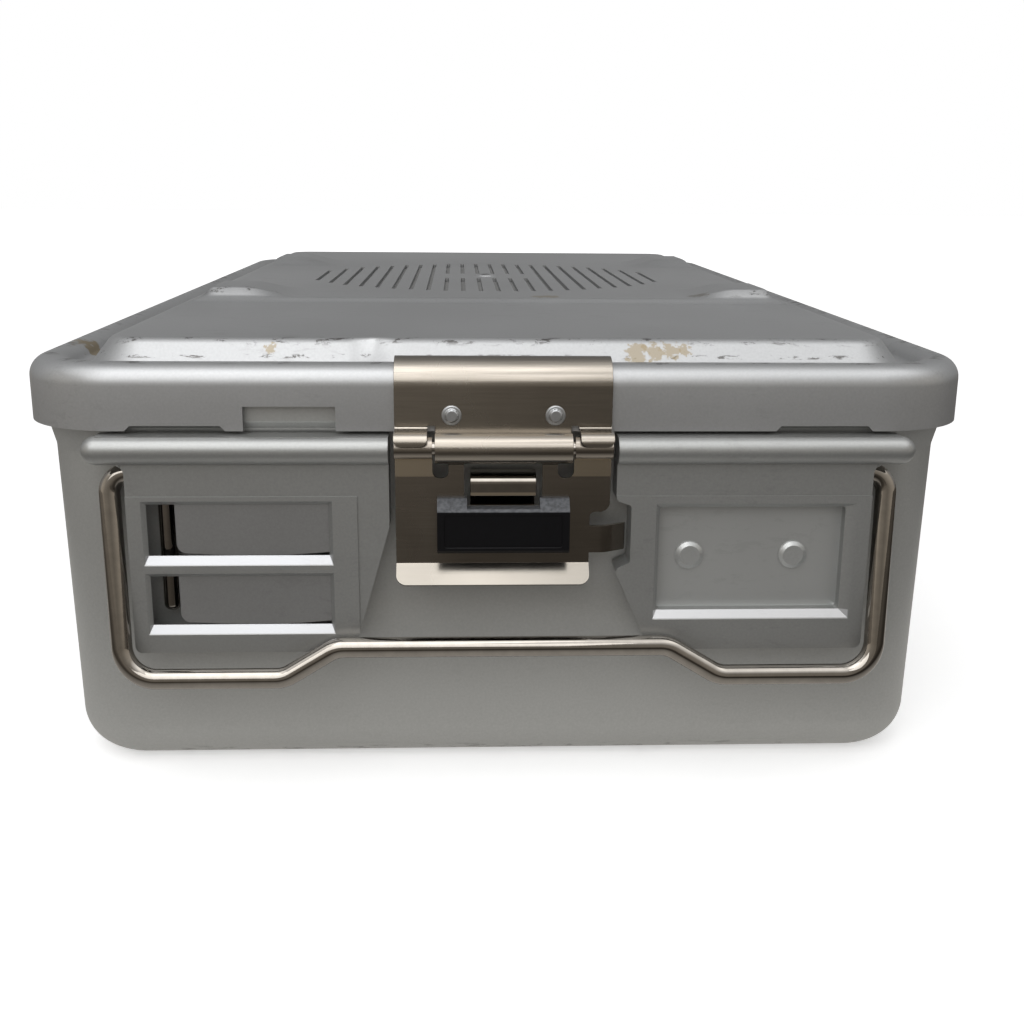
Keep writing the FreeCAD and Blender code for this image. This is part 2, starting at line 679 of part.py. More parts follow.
def turned_along_y(name, steps, x, z):
    """A turned piece along Y: steps are (y from, y to, radius from, radius to)."""
    parts = []
    for number, (start, end, first, last) in enumerate(steps):
        start, end, first, last = as_dim(start), as_dim(end), as_dim(first), as_dim(last)
        same = first.text == last.text
        step = doc.addObject("Part::Cylinder" if same else "Part::Cone",
                             "%s_step_%d" % (name, number))
        if same:
            bind(step, "Radius", first)
        else:
            bind(step, "Radius1", first)
            bind(step, "Radius2", last)
        bind(step, "Height", end - start)
        step.Placement = Placement(Vector(0, 0, 0), Rotation(Vector(1, 0, 0), -90))
        put(step, x, start, z)
        parts.append(step)
    whole = doc.addObject("Part::MultiFuse", name)
    whole.Shapes = parts
    whole.Refine = True
    return whole


def group(name, members, end):
    """Separate solids that share one node."""
    made = doc.addObject("Part::Compound", name)
    made.Label = name
    made.Links = members
    at_end(made, end)


# Y planes of the front latch, from the lid's face outwards.
bracket_back = face - size.bracket_room
bracket_front = bracket_back - size.bracket_sheet
pin_y = bracket_back - size.barrel_radius
flap_back = pin_y + size.knuckle_radius
flap_front = flap_back - size.bracket_sheet
tray_back = wall - 0.1
tray_front = tray_back - size.tray_depth
tray_inside = tray_front + size.tray_sheet
pivot_y = wall - size.pivot_out


def make_latch_bracket(end):
    """Stainless bracket folded over the rim, with a hinge barrel and stop tabs."""
    body = new_body("latch_bracket_" + end)
    profile = sketch_on(body, "fold", "YZ_Plane", -size.bracket_half)
    outer_top = size.rim_top + size.bracket_room + size.bracket_sheet
    inner_top = size.rim_top + size.bracket_room
    leg = face + size.rim_band + size.bracket_room
    leg_foot = size.rim_top - size.gutter_depth + 0.5
    small = size.rim_inner_round + size.bracket_room
    outline(profile, [
        (bracket_front, below(size.bracket_foot)),
        (bracket_back, below(size.bracket_foot)),
        (bracket_back, inner_top, size.rim_round + size.bracket_room),
        (leg, inner_top, small),
        (leg, leg_foot),
        (leg + size.bracket_sheet, leg_foot),
        (leg + size.bracket_sheet, outer_top, small + size.bracket_sheet),
        (bracket_front, outer_top, size.rim_round + size.bracket_room + size.bracket_sheet),
    ])
    feature(body, "Pad", "folded_sheet", profile, size.bracket_half * 2)
    block(body, "AdditiveBox", "barrel_root",
          (-size.barrel_half, bracket_front, below(size.pin_drop)),
          (size.barrel_half, bracket_back, below(size.bracket_foot)))
    rod_along_x(body, "AdditiveCylinder", "barrel", size.barrel_radius,
                -size.barrel_half, size.barrel_half, pin_y, below(size.pin_drop))
    rod_along_x(body, "SubtractiveCylinder", "barrel_bore", size.pin_radius + size.pin_room / 2,
                -size.barrel_half - 1, size.barrel_half + 1, pin_y, below(size.pin_drop))
    roof = below(size.pin_drop) + size.knuckle_radius + size.tab_room
    inner = pin_y - size.knuckle_radius - size.tab_room
    tab_foot = below(size.bracket_foot + size.tab_drop)
    for sign in (-1, 1):
        start = -size.bracket_half if sign < 0 else size.tab_inner
        tab = sketch_on(body, "tab_%s" % ("left" if sign < 0 else "right"), "YZ_Plane", start)
        outline(tab, [
            (bracket_back, roof),
            (inner, roof, 1.6),
            (inner, tab_foot),
            (inner - size.bracket_sheet, tab_foot),
            (inner - size.bracket_sheet, roof + size.bracket_sheet, 1.6 + size.bracket_sheet),
            (bracket_front, roof + size.bracket_sheet),
            (bracket_back, below(size.bracket_foot) + 1.0),
        ])
        feature(body, "Pad", "stop_tab_%s" % ("left" if sign < 0 else "right"), tab,
                size.bracket_half - size.tab_inner)
    foot_z = tab_foot.value
    rounded(body, "tab_corners", size.tab_corner,
            lambda edge, middle: level(edge, foot_z) and edge.Length < 2)
    holes = sketch_on(body, "rivet_holes", "XZ_Plane", -bracket_front)
    for sign in (-1, 1):
        circle(holes, size.bracket_rivet_x * sign, below(size.bracket_rivet_drop),
               size.rivet_shank + size.pin_room)
    feature(body, "Pocket", "rivet_hole_cut", holes, size.bracket_sheet + 0.5)
    at_end(body, end)


def make_bracket_rivets(end):
    """Two aluminium rivets through the bracket and the skirt."""
    members = []
    for sign, word in ((-1, "left"), (1, "right")):
        members.append(turned_along_y("bracket_rivet_%s_%s" % (word, end), [
            (bracket_front - 1.3, bracket_front - 0.6, size.bracket_rivet_head - 1.4,
             size.bracket_rivet_head - 1.0),
            (bracket_front - 0.6, bracket_front, size.bracket_rivet_head - 0.3,
             size.bracket_rivet_head),
            (bracket_front, face + size.lid_sheet, size.rivet_shank, size.rivet_shank),
            (face + size.lid_sheet, face + size.lid_sheet + 0.7, size.bracket_rivet_head - 0.5,
             size.bracket_rivet_head - 0.8),
        ], size.bracket_rivet_x * sign, below(size.bracket_rivet_drop)))
    group("bracket_rivets_" + end, members, end)


def make_latch_pin(end):
    """Hinge pin through the barrel and the flap's knuckles."""
    pin = doc.addObject("Part::Cylinder", "latch_pin_" + end)
    pin.Label = "latch_pin_" + end
    bind(pin, "Radius", size.pin_radius)
    bind(pin, "Height", size.flap_half * 2)
    turn = 180 if end == "rear" else 0
    pin.Placement = Placement(Vector(0, 0, 0), Rotation(Vector(0, 1, 0), 90))
    put(pin, -size.flap_half, -pin_y if turn else pin_y, below(size.pin_drop))
    pieces.append(pin)


def make_latch_flap(end):
    """Stainless flap: rolled knuckles, window for the hook, seal tongue, finger lip."""
    body = new_body("latch_flap_" + end)
    plate = sketch_on(body, "plate_outline", "XZ_Plane", -flap_back)
    knuckle_z = below(size.pin_drop)
    foot = below(size.flap_foot)
    outline(plate, [
        (-size.flap_half, knuckle_z),
        (-size.flap_half, foot),
        (size.lip_right, foot),
        (size.lip_right, below(size.seal_top), 1.5),
        (size.flap_half, below(size.seal_top), 3.0),
        (size.flap_half, knuckle_z),
        (size.knuckle_inner, knuckle_z),
        (size.knuckle_inner, below(size.slot_foot), 2.0),
        (size.strip_half, below(size.slot_foot), 2.0),
        (size.strip_half, below(size.strip_top)),
        (size.window_half, below(size.strip_top)),
        (size.window_half, below(size.window_sill)),
        (-size.window_half, below(size.window_sill)),
        (-size.window_half, below(size.strip_top)),
        (-size.strip_half, below(size.strip_top)),
        (-size.strip_half, below(size.slot_foot), 2.0),
        (-size.knuckle_inner, below(size.slot_foot), 2.0),
        (-size.knuckle_inner, knuckle_z),
    ])
    feature(body, "Pad", "plate", plate, size.bracket_sheet)
    for start, stop, word in ((-size.flap_half, -size.knuckle_inner, "left"),
                              (size.knuckle_inner, size.flap_half, "right")):
        rod_along_x(body, "AdditiveCylinder", "knuckle_" + word, size.knuckle_radius,
                    start, stop, pin_y, knuckle_z)
        block(body, "AdditiveBox", "roll_end_" + word,
              (start, flap_front - size.roll_step, knuckle_z - size.roll_end),
              (stop, flap_front + 0.1, knuckle_z))
    rod_along_x(body, "SubtractiveCylinder", "knuckle_bore", size.pin_radius + size.pin_room,
                -size.flap_half - 1, size.flap_half + 1, pin_y, knuckle_z)

    lip = sketch_on(body, "lip_fold", "YZ_Plane", -size.flap_half)
    outline(lip, [
        (flap_back, foot),
        (flap_front, foot),
        (flap_front - size.lip_out, foot - size.lip_drop),
        (flap_front - size.lip_out + size.bracket_sheet * 0.83,
         foot - size.lip_drop - size.bracket_sheet * 0.56),
        (flap_back, foot - size.bracket_sheet * 0.4),
    ])
    feature(body, "Pad", "lip", lip, size.flap_half + size.lip_right)
    low = foot.value - size.lip_drop.value + 0.1
    rounded(body, "lip_corners", size.lip_corner,
            lambda edge, middle: middle.z < low and edge.Length < 2)

    tongue = sketch_on(body, "tongue_curve", "XY_Plane", below(size.tongue_foot))
    middle = (size.lip_right + size.tongue_reach) / 2
    outline(tongue, [
        (size.lip_right - 1, flap_front),
        (middle - 1, flap_front, 6.0),
        (size.tongue_reach - 0.4, flap_front + 3.4),
        (size.tongue_reach, flap_back + 3.2),
        (middle - 1.5, flap_back, 4.7),
        (size.lip_right - 1, flap_back),
    ])
    feature(body, "Pad", "seal_tongue", tongue, size.tongue_foot - size.tongue_top)

    holes = sketch_on(body, "peg_holes", "XZ_Plane", -flap_front)
    for sign in (-1, 1):
        circle(holes, size.peg_x * sign, below(size.peg_drop), size.peg_radius + size.pin_room)
    feature(body, "Pocket", "peg_hole_cut", holes, size.bracket_sheet + 0.5)
    at_end(body, end)


def make_lock_block(end):
    """Moulded block on the flap, with a sunk bare panel and two pegs."""
    body = new_body("lock_block_" + end)
    side_view = sketch_on(body, "side_view", "YZ_Plane", -size.block_half)
    front = flap_front - size.block_out
    outline(side_view, [
        (flap_front, below(size.block_foot)),
        (flap_front, below(size.block_top)),
        (front + size.block_bevel, below(size.block_top)),
        (front, below(size.block_top + size.block_bevel)),
        (front, below(size.block_foot) + 1.0),
        (front + 1.0, below(size.block_foot)),
    ])
    feature(body, "Pad", "moulding", side_view, size.block_half * 2)
    notch = sketch_on(body, "notch_outline", "XZ_Plane", -front)
    rectangle(notch, -size.notch_half, below(size.window_sill), size.notch_half,
              below(size.block_top) + 1)
    feature(body, "Pocket", "notch", notch, size.block_out + 1)
    panel = sketch_on(body, "panel_outline", "XZ_Plane", -front)
    rectangle(panel, -size.block_half + 2, below(size.block_foot) + 1.8, size.block_half - 2,
              below(size.block_top + size.block_bevel) - 0.8, 0.8)
    feature(body, "Pocket", "panel", panel, size.panel_depth)
    pegs = sketch_on(body, "peg_outlines", "XZ_Plane", -flap_front)
    for sign in (-1, 1):
        circle(pegs, size.peg_x * sign, below(size.peg_drop), size.peg_radius)
    feature(body, "Pad", "pegs", pegs, size.bracket_sheet + 0.4, True)
    at_end(body, end)


def make_catch_hook(end):
    """Strip riveted to the tub, bent out and down into a nose for the flap."""
    body = new_body("catch_hook_" + end)
    section = sketch_on(body, "bent_strip", "YZ_Plane", -size.hook_half)
    back = wall_at(size.hook_top) - 0.05
    front = flap_back - size.hook_bite
    bend_radius = size.hook_sheet + 1.4
    outline(section, [
        (back, below(size.hook_foot)),
        (back, below(size.hook_top), bend_radius),
        (front, below(size.hook_top), bend_radius),
        (front, below(size.hook_nose)),
        (front + size.hook_sheet, below(size.hook_nose)),
        (front + size.hook_sheet, below(size.hook_top) - size.hook_sheet, 1.4),
        (back - size.hook_sheet, below(size.hook_top) - size.hook_sheet, 1.4),
        (back - size.hook_sheet, below(size.hook_foot)),
    ])
    feature(body, "Pad", "strip", section, size.hook_half * 2)
    holes = sketch_on(body, "rivet_holes", "XZ_Plane", size.hook_sheet - back)
    for sign in (-1, 1):
        circle(holes, size.hook_rivet_x * sign, below(size.hook_rivet_drop),
               size.rivet_shank + size.pin_room)
    feature(body, "Pocket", "rivet_hole_cut", holes, size.hook_sheet + 0.5)
    at_end(body, end)


def make_catch_rivets(end):
    """Two rivets through the catch hook and the end wall."""
    members = []
    hook_front = wall_at(size.hook_top) - 0.05 - size.hook_sheet
    inner = wall_at(size.hook_rivet_drop) + size.tub_sheet + 0.1
    for sign, word in ((-1, "left"), (1, "right")):
        members.append(turned_along_y("catch_rivet_%s_%s" % (word, end), [
            (hook_front - 1.2, hook_front, 1.8, 2.8),
            (hook_front, inner, size.rivet_shank, size.rivet_shank),
            (inner, inner + 1.0, 2.8, 1.8),
        ], size.hook_rivet_x * sign, below(size.hook_rivet_drop)))
    group("catch_rivets_" + end, members, end)


def tray_corners(sign, inset, notched):
    """Front outline of a holder's tray; sign is -1 for the left-hand one."""
    inner = size.tray_inner + inset
    outer = size.tray_outer - inset
    foot = below(size.tray_foot) + inset
    top = below(size.tray_top) - inset
    cut_x = size.tray_cut_x + inset
    cut_z = below(size.tray_cut_top)
    corners = [(outer * sign, top), (outer * sign, foot, 2.0), (cut_x * sign, foot)]
    if notched:
        floor = size.seal_notch + inset
        corners += [
            (inner * sign, below(size.seal_notch_foot + 2.2) - inset / 2, size.notch_round),
            (floor * sign, below(size.seal_notch_foot) - inset, size.notch_round),
            (floor * sign, below(size.seal_notch_top) + inset, size.notch_round),
            (inner * sign, below(size.seal_notch_top - 1.6) + inset, size.notch_round),
        ]
    else:
        corners += [(inner * sign, cut_z)]
    corners += [(inner * sign, top)]
    return corners


def make_tray(body, sign, notched):
    """Cast tray open at the back, with a half-round bead along its top."""
    plan = sketch_on(body, "tray_outline", "XZ_Plane", -tray_back)
    outline(plan, tray_corners(sign, as_dim(0), notched))
    feature(body, "Pad", "tray", plan, size.tray_depth)
    near, far = size.tray_inner, size.bead_outer - size.bead_radius
    low = below(size.tray_top + size.bead_radius * 2)
    left, right = (-far, -near) if sign < 0 else (near, far)
    block(body, "AdditiveBox", "bead_back", (left, tray_front, low),
          (right, tray_back, below(size.tray_top)))
    web = sketch_on(body, "web_outline", "XZ_Plane", -tray_front)
    root = size.tray_outer - 1
    outline(web, [
        (root * sign, low + 1),
        (root * sign, low - size.bead_web),
        (size.tray_outer * sign, low - size.bead_web),
        (size.tray_outer * sign, low, size.bead_web - 0.2),
        ((size.tray_outer + size.bead_web) * sign, low),
        ((size.tray_outer + size.bead_web) * sign, low + 1),
    ])
    feature(body, "Pad", "bead_web", web, size.tray_sheet, True)
    bead_z = below(size.tray_top + size.bead_radius)
    bead_y = tray_front + size.bead_sink
    rod_along_x(body, "AdditiveCylinder", "bead", size.bead_radius, left, right, bead_y, bead_z)
    tip = body.newObject("PartDesign::AdditiveSphere", "bead_end")
    bind(tip, "Radius", size.bead_radius)
    put(tip, left if sign < 0 else right, bead_y, bead_z)
    body.Tip = tip


def hollow_tray(body, sign, notched, islands):
    """Take the tray's inside out from the back and leave its islands."""
    hollow = sketch_on(body, "tray_inside", "XZ_Plane", -tray_back)
    corners = tray_corners(sign, size.tray_sheet, notched)
    outline(hollow, corners)
    for draw in islands:
        draw(hollow)
    feature(body, "Pocket", "tray_hollow", hollow, size.tray_depth - size.tray_sheet, True)


def finish_tray(body, sign):
    """Ribs for the handle's arm, its way in, and room for the tub's flare."""
    pivot_z = below(size.pivot_drop)
    for number, place in enumerate((size.rib_outer, size.rib_inner)):
        left, right = place - size.rib_width, place
        if sign < 0:
            left, right = -right, -left
        block(body, "AdditiveBox", "bearing_rib_%d" % number,
              (left, tray_inside, pivot_z - 4.6), (right, tray_back, pivot_z + 4.6))
    ends = (size.arm_end - 2, size.tray_outer - size.tray_sheet - 0.5)
    start, stop = (-ends[1], -ends[0]) if sign < 0 else ends
    rod_along_x(body, "SubtractiveCylinder", "bearing_bore", size.wire_radius + size.wire_room,
                start, stop, pivot_y, pivot_z)
    outer, inner = size.tray_outer + 0.1, size.tray_outer - size.tray_sheet - 0.1
    left, right = (-outer, -inner) if sign < 0 else (inner, outer)
    block(body, "SubtractiveBox", "arm_entry", (left, tray_inside, pivot_z - 5.0),
          (right, tray_back + 1, below(size.tray_top + size.bead_radius * 2) - 0.2))
    outer, inner = size.bead_outer + 1, size.tray_inner - 1
    left, right = (-outer, -inner) if sign < 0 else (inner, outer)
    block(body, "SubtractiveBox", "flare_room",
          (left, face + size.flare_inset - 0.5, below(size.tray_top + size.bead_radius * 2)),
          (right, tray_back + 1, below(size.tray_top) + 1))


def bevelled_opening(body, name, low, high, margins, depth):
    """Mitred bevel round an opening: low and high corners (x, z) at its floor.

    Margins are the bevel's widths at the low x, low z, high x and high z sides.
    """
    front = sketch_on(body, name + "_front", "XZ_Plane", -tray_front)
    rectangle(front, low[0] - margins[0], low[1] - margins[1],
              high[0] + margins[2], high[1] + margins[3])
    back = sketch_on(body, name + "_back", "XZ_Plane", -tray_front - depth)
    rectangle(back, low[0], low[1], high[0], high[1])
    loft(body, "SubtractiveLoft", name, [front, back])


def lower_top_field(body, sign, strip):
    """Set the field above the frame back, and the strip beside it if asked."""
    field = sketch_on(body, "field_outline", "XZ_Plane", -tray_front)
    outer, inner = (size.tray_outer + 1) * sign, (size.tray_inner - 1) * sign
    top = below(size.tray_top + size.bead_radius * 2)
    foot = below(size.frame_top)
    if strip:
        low = below(size.tray_foot + 1)
        edge = size.frame_side * sign
        outline(field, [(outer, top), (inner, top), (inner, low), (edge, low),
                        (edge, foot), (outer, foot)])
    else:
        rectangle(field, inner, foot, outer, top)
    feature(body, "Pocket", "top_field", field, size.frame_step)


def make_indicator_holder(end):
    """Left-hand holder with two windows for indicator cards."""
    body = new_body("indicator_holder_" + end)
    make_tray(body, -1, False)

    def bosses(sketch):
        circle(sketch, -size.stud_inner, below(size.stud_inner_drop), size.boss_radius)
        circle(sketch, -size.stud_outer, below(size.pivot_drop), size.boss_radius)

    hollow_tray(body, -1, False, [bosses])
    finish_tray(body, -1)
    windows = sketch_on(body, "window_outlines", "XZ_Plane", -tray_front)
    for top, foot in ((size.view_top_one, size.view_foot_one),
                      (size.view_top_two, size.view_foot_two)):
        rectangle(windows, -size.view_outer, below(foot), -size.view_inner, below(top), 0.6)
    feature(body, "Pocket", "windows", windows, size.tray_sheet + 0.5)
    lower_top_field(body, -1, True)
    bevel_width = size.window_bevel
    for name, top, foot in (("upper_bevel", size.view_top_one, size.view_foot_one),
                            ("lower_bevel", size.view_top_two, size.view_foot_two)):
        bevelled_opening(body, name, (-size.view_outer, below(foot)),
                         (-size.view_inner, below(top)),
                         (bevel_width, size.sill_rise, bevel_width, bevel_width),
                         size.tray_sheet)
    holes = sketch_on(body, "stud_holes", "XZ_Plane", -tray_back)
    circle(holes, -size.stud_inner, below(size.stud_inner_drop), size.holder_shank + size.pin_room)
    circle(holes, -size.stud_outer, below(size.pivot_drop), size.holder_shank + size.pin_room)
    feature(body, "Pocket", "stud_hole_cut", holes, 5, True)
    at_end(body, end)


def make_nameplate_holder(end):
    """Right-hand holder with one recess for a name plate, and a seal notch."""
    body = new_body("nameplate_holder_" + end)
    make_tray(body, 1, True)
    inner, outer = size.name_inner, size.name_outer
    top, foot = below(size.name_top), below(size.name_foot)
    shell = size.tray_sheet

    def recess_box(sketch):
        rectangle(sketch, inner - shell, foot - shell, outer + shell, top + shell)

    hollow_tray(body, 1, True, [recess_box])
    finish_tray(body, 1)
    recess = sketch_on(body, "recess_outline", "XZ_Plane", -tray_front)
    rectangle(recess, inner, foot, outer, top, 1.0)
    feature(body, "Pocket", "name_recess", recess, size.name_depth)
    behind = sketch_on(body, "behind_recess", "XZ_Plane", -tray_back)
    rectangle(behind, inner, foot, outer, top)
    for x in (size.name_rivet_one, size.name_rivet_two):
        circle(behind, x, below(size.name_rivet_drop), size.boss_radius)
    feature(body, "Pocket", "behind_cut", behind,
            size.tray_depth - size.name_depth - size.tray_sheet, True)
    lower_top_field(body, 1, False)
    bevel_width = size.window_bevel
    bevelled_opening(body, "name_bevel", (inner, foot), (outer, top),
                     (bevel_width, size.sill_rise, size.name_margin, bevel_width),
                     size.tray_sheet - 0.2)
    holes = sketch_on(body, "rivet_holes", "XZ_Plane", -tray_front)
    for x in (size.name_rivet_one, size.name_rivet_two):
        circle(holes, x, below(size.name_rivet_drop), size.holder_shank + size.pin_room)
    feature(body, "Pocket", "rivet_hole_cut", holes, size.tray_depth + 1)
    at_end(body, end)


def make_holder_rivets(end):
    """Two rivets in the name recess, and two studs set from inside the tub."""
    members = []
    floor = tray_front + size.name_depth
    for x, word in ((size.name_rivet_one, "inner"), (size.name_rivet_two, "outer")):
        inside = wall_at(size.name_rivet_drop) + size.tub_sheet + 0.1
        members.append(turned_along_y("name_rivet_%s_%s" % (word, end), [
            (floor - 1.2, floor - 0.4, 3.0, size.boss_radius - 0.2),
            (floor - 0.4, floor, size.boss_radius, size.boss_radius),
            (floor, inside, size.holder_shank, size.holder_shank),
            (inside, inside + 1.2, 3.6, 2.6),
        ], x, below(size.name_rivet_drop)))
    for x, drop, word in ((size.stud_inner, size.stud_inner_drop, "inner"),
                          (size.stud_outer, size.pivot_drop, "outer")):
        inside = wall_at(drop) + size.tub_sheet + 0.1
        members.append(turned_along_y("holder_stud_%s_%s" % (word, end), [
            (tray_back - 4.5, inside, size.holder_shank, size.holder_shank),
            (inside, inside + 1.2, 3.6, 2.6),
        ], -x, below(drop)))
    group("holder_rivets_" + end, members, end)


def make_label_stop_rod(end):
    """Polished rod on the end wall that the indicator cards slide up to."""
    body = new_body("label_stop_rod_" + end)
    plan = sketch_on(body, "rod_section", "XY_Plane", below(size.stop_rod_foot))
    y = wall_at(size.stop_rod_top) - size.stop_rod_radius - 0.1
    circle(plan, -size.stop_rod_x, y, size.stop_rod_radius)
    feature(body, "Pad", "rod", plan, size.stop_rod_foot - size.stop_rod_top)
    foot = below(size.stop_rod_foot).value
    rounded(body, "rounded_end", size.stop_rod_radius - 0.4,
            lambda edge, middle: level(edge, foot))
    at_end(body, end)


def make_card_spring(end):
    """Sheet with two tongues that press the cards against the windows."""
    body = new_body("card_spring_" + end)
    back = tray_inside + size.spring_room + size.spring_sheet
    tongues = sketch_on(body, "tongue_outline", "XZ_Plane", -back)
    left = -size.stop_rod_x + size.stop_rod_radius + 0.8
    right = -size.view_inner + 0.4
    spine = right + 5.0
    outline(tongues, [
        (left, below(size.view_top_one) + 2.0),
        (left, below(size.view_foot_one) + 0.6, 3.0),
        (left + 24, below(size.view_foot_one) - 0.8),
        (right, below(size.view_foot_one) + 0.8),
        (right, below(size.view_top_two) + 2.4),
        (left, below(size.view_top_two) + 2.4),
        (left, below(size.view_foot_two) + 0.6, 3.0),
        (left + 24, below(size.view_foot_two) - 0.8),
        (right, below(size.view_foot_two) + 0.8),
        (spine, below(size.view_foot_two) + 0.8),
        (spine, below(size.view_top_one) - 5.0),
        (right, below(size.view_top_one) + 2.0),
    ])
    feature(body, "Pad", "sheet", tongues, size.spring_sheet)
    at_end(body, end)


def make_handle_bail(end):
    """Bent wire bail: two arms in the holders, legs, and an offset grip."""
    body = new_body("handle_bail_" + end)
    route = sketch_on(body, "wire_route", "XZ_Plane", 0)
    half = [
        (-size.arm_end, 0),
        (-size.leg_top, 0, size.leg_bend),
        (-size.leg_foot, -size.side_drop, size.corner_bend),
        (-size.side_inner, -size.side_drop, size.grip_bend),
        (-size.grip_half, -size.grip_drop, size.grip_bend),
    ]
    other = [(-corner[0], *corner[1:]) for corner in half[::-1]]
    outline(route, half + other, closed=False)
    ring = sketch_on(body, "wire_section", "YZ_Plane", -size.arm_end)
    circle(ring, 0, 0, size.wire_radius)
    doc.recompute()
    wire = body.newObject("PartDesign::AdditivePipe", "wire")
    wire.Profile = ring
    wire.Spine = (route, ["Edge%d" % n for n in range(1, len(route.Shape.Edges) + 1)])
    body.Tip = wire
    turn = Rotation(Vector(1, 0, 0), -size.handle_tilt.value)
    spin = Rotation(Vector(0, 0, 1), 180 if end == "rear" else 0)
    body.Placement = Placement(Vector(0, 0, 0), spin.multiply(turn))
    put(body, 0, -pivot_y if end == "rear" else pivot_y, below(size.pivot_drop))
    pieces.append(body)


def make_filter_set():
    """Paper, retainer, stud, spring washer and knob under the perforated field."""
    under = ridge_top - size.lid_sheet
    paper_top = under - size.paper_room
    paper = new_body("filter_paper")
    disc = sketch_on(paper, "disc", "XY_Plane", paper_top - size.paper_thick)
    circle(disc, 0, 0, size.paper_radius)
    circle(disc, 0, 0, size.stud_radius + size.pin_room)
    feature(paper, "Pad", "paper", disc, size.paper_thick)
    pieces.append(paper)

    plate_top = paper_top - size.paper_thick - size.paper_room
    retainer = new_body("filter_retainer")
    blank = sketch_on(retainer, "blank", "XY_Plane", plate_top - size.retainer_rim)
    circle(blank, 0, 0, size.retainer_radius)
    feature(retainer, "Pad", "dish", blank, size.retainer_rim)
    inner = sketch_on(retainer, "dish_inside", "XY_Plane", plate_top - size.retainer_rim)
    circle(inner, 0, 0, size.retainer_radius - size.retainer_sheet)
    feature(retainer, "Pocket", "dish_hollow", inner,
            size.retainer_rim - size.retainer_sheet, True)
    holes = sketch_on(retainer, "holes", "XY_Plane", plate_top)
    circle(holes, 0, 0, size.stud_radius + size.pin_room)
    for ring, count in ((size.retainer_ring_one, 10), (size.retainer_ring_two, 18)):
        for number in range(count):
            angle = 2 * math.pi * number / count
            circle(holes, ring * math.cos(angle), ring * math.sin(angle), size.retainer_hole)
    feature(retainer, "Pocket", "hole_cut", holes, size.retainer_sheet + 0.5)
    pieces.append(retainer)

    washer_top = plate_top - size.retainer_sheet - size.paper_room
    knob_top = washer_top - size.cup_rise - size.cup_sheet - size.paper_room
    knob_foot = knob_top - size.knob_thick
    washer = new_body("spring_washer")
    section = sketch_on(washer, "dished_section", "XZ_Plane", 0)
    outline(section, [
        (size.stud_radius + 0.3, washer_top - size.cup_rise - size.cup_sheet),
        (size.stud_radius + 2.3, washer_top - size.cup_rise - size.cup_sheet),
        (size.cup_radius, washer_top - size.cup_sheet),
        (size.cup_radius, washer_top),
        (size.stud_radius + 2.3, washer_top - size.cup_rise),
        (size.stud_radius + 0.3, washer_top - size.cup_rise),
    ])
    dished = washer.newObject("PartDesign::Revolution", "dished")
    dished.Profile = section
    dished.ReferenceAxis = (section, ["V_Axis"])
    dished.Angle = 360
    washer.Tip = dished
    pieces.append(washer)

    stud = new_body("filter_stud")
    profile = sketch_on(stud, "turned_section", "XZ_Plane", 0)
    cap_top = knob_foot - size.paper_room
    outline(profile, [
        (0, cap_top - 1.5),
        (size.stud_cap, cap_top - 1.5),
        (size.stud_cap, cap_top),
        (size.stud_radius, cap_top),
        (size.stud_radius, ridge_top),
        (size.stud_head, ridge_top),
        (size.stud_head - 1.0, ridge_top + 0.8),
        (0, ridge_top + 0.8),
    ])
    turned = stud.newObject("PartDesign::Revolution", "turned")
    turned.Profile = profile
    turned.ReferenceAxis = (profile, ["V_Axis"])
    turned.Angle = 360
    stud.Tip = turned
    pieces.append(stud)

    knob = new_body("retainer_knob")
    grip = sketch_on(knob, "wing_plan", "XY_Plane", knob_foot)
    half_wing = size.knob_wing / 2
    rectangle(grip, -size.knob_radius, -half_wing, size.knob_radius, half_wing, half_wing - 0.5)
    feature(knob, "Pad", "wings", grip, size.knob_thick)
    hub = sketch_on(knob, "hub_plan", "XY_Plane", knob_foot)
    circle(hub, 0, 0, size.knob_hub)
    feature(knob, "Pad", "hub", hub, size.knob_thick)
    bore = sketch_on(knob, "bore_plan", "XY_Plane", knob_foot)
    circle(bore, 0, 0, size.stud_radius + size.pin_room)
    feature(knob, "Pocket", "bore", bore, size.knob_thick, True)
    pieces.append(knob)


make_container_bottom()
make_lid_shell()
make_lid_gasket()
make_filter_set()
for end in ("front", "rear"):
    make_latch_bracket(end)
    make_bracket_rivets(end)
    make_latch_pin(end)
    make_latch_flap(end)
    make_lock_block(end)
    make_catch_hook(end)
    make_catch_rivets(end)
    make_indicator_holder(end)
    make_nameplate_holder(end)
    make_holder_rivets(end)
    make_label_stop_rod(end)
    make_card_spring(end)
    make_handle_bail(end)

doc.recompute()
failed = [thing.Name for thing in doc.Objects
          if "Invalid" in thing.State or "Error" in thing.State]
if failed:
    raise RuntimeError("these did not build: %s" % ", ".join(failed))
for piece in pieces:
    shape = piece.Shape
    if shape.isNull() or not shape.isValid() or not shape.Solids:
        raise RuntimeError("%s has no sound solid" % piece.Label)

os.makedirs("parts", exist_ok=True)
for piece in pieces:
    piece.Shape.exportStep("parts/%s.step" % piece.Label)
    box = piece.Shape.BoundBox
    print("%-26s solids %d volume %9.0f  x %.1f..%.1f y %.1f..%.1f z %.1f..%.1f" % (
        piece.Label, len(piece.Shape.Solids), piece.Shape.Volume,
        box.XMin, box.XMax, box.YMin, box.YMax, box.ZMin, box.ZMax))
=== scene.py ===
import bmesh
import bpy
import numpy as np
from mathutils import Matrix


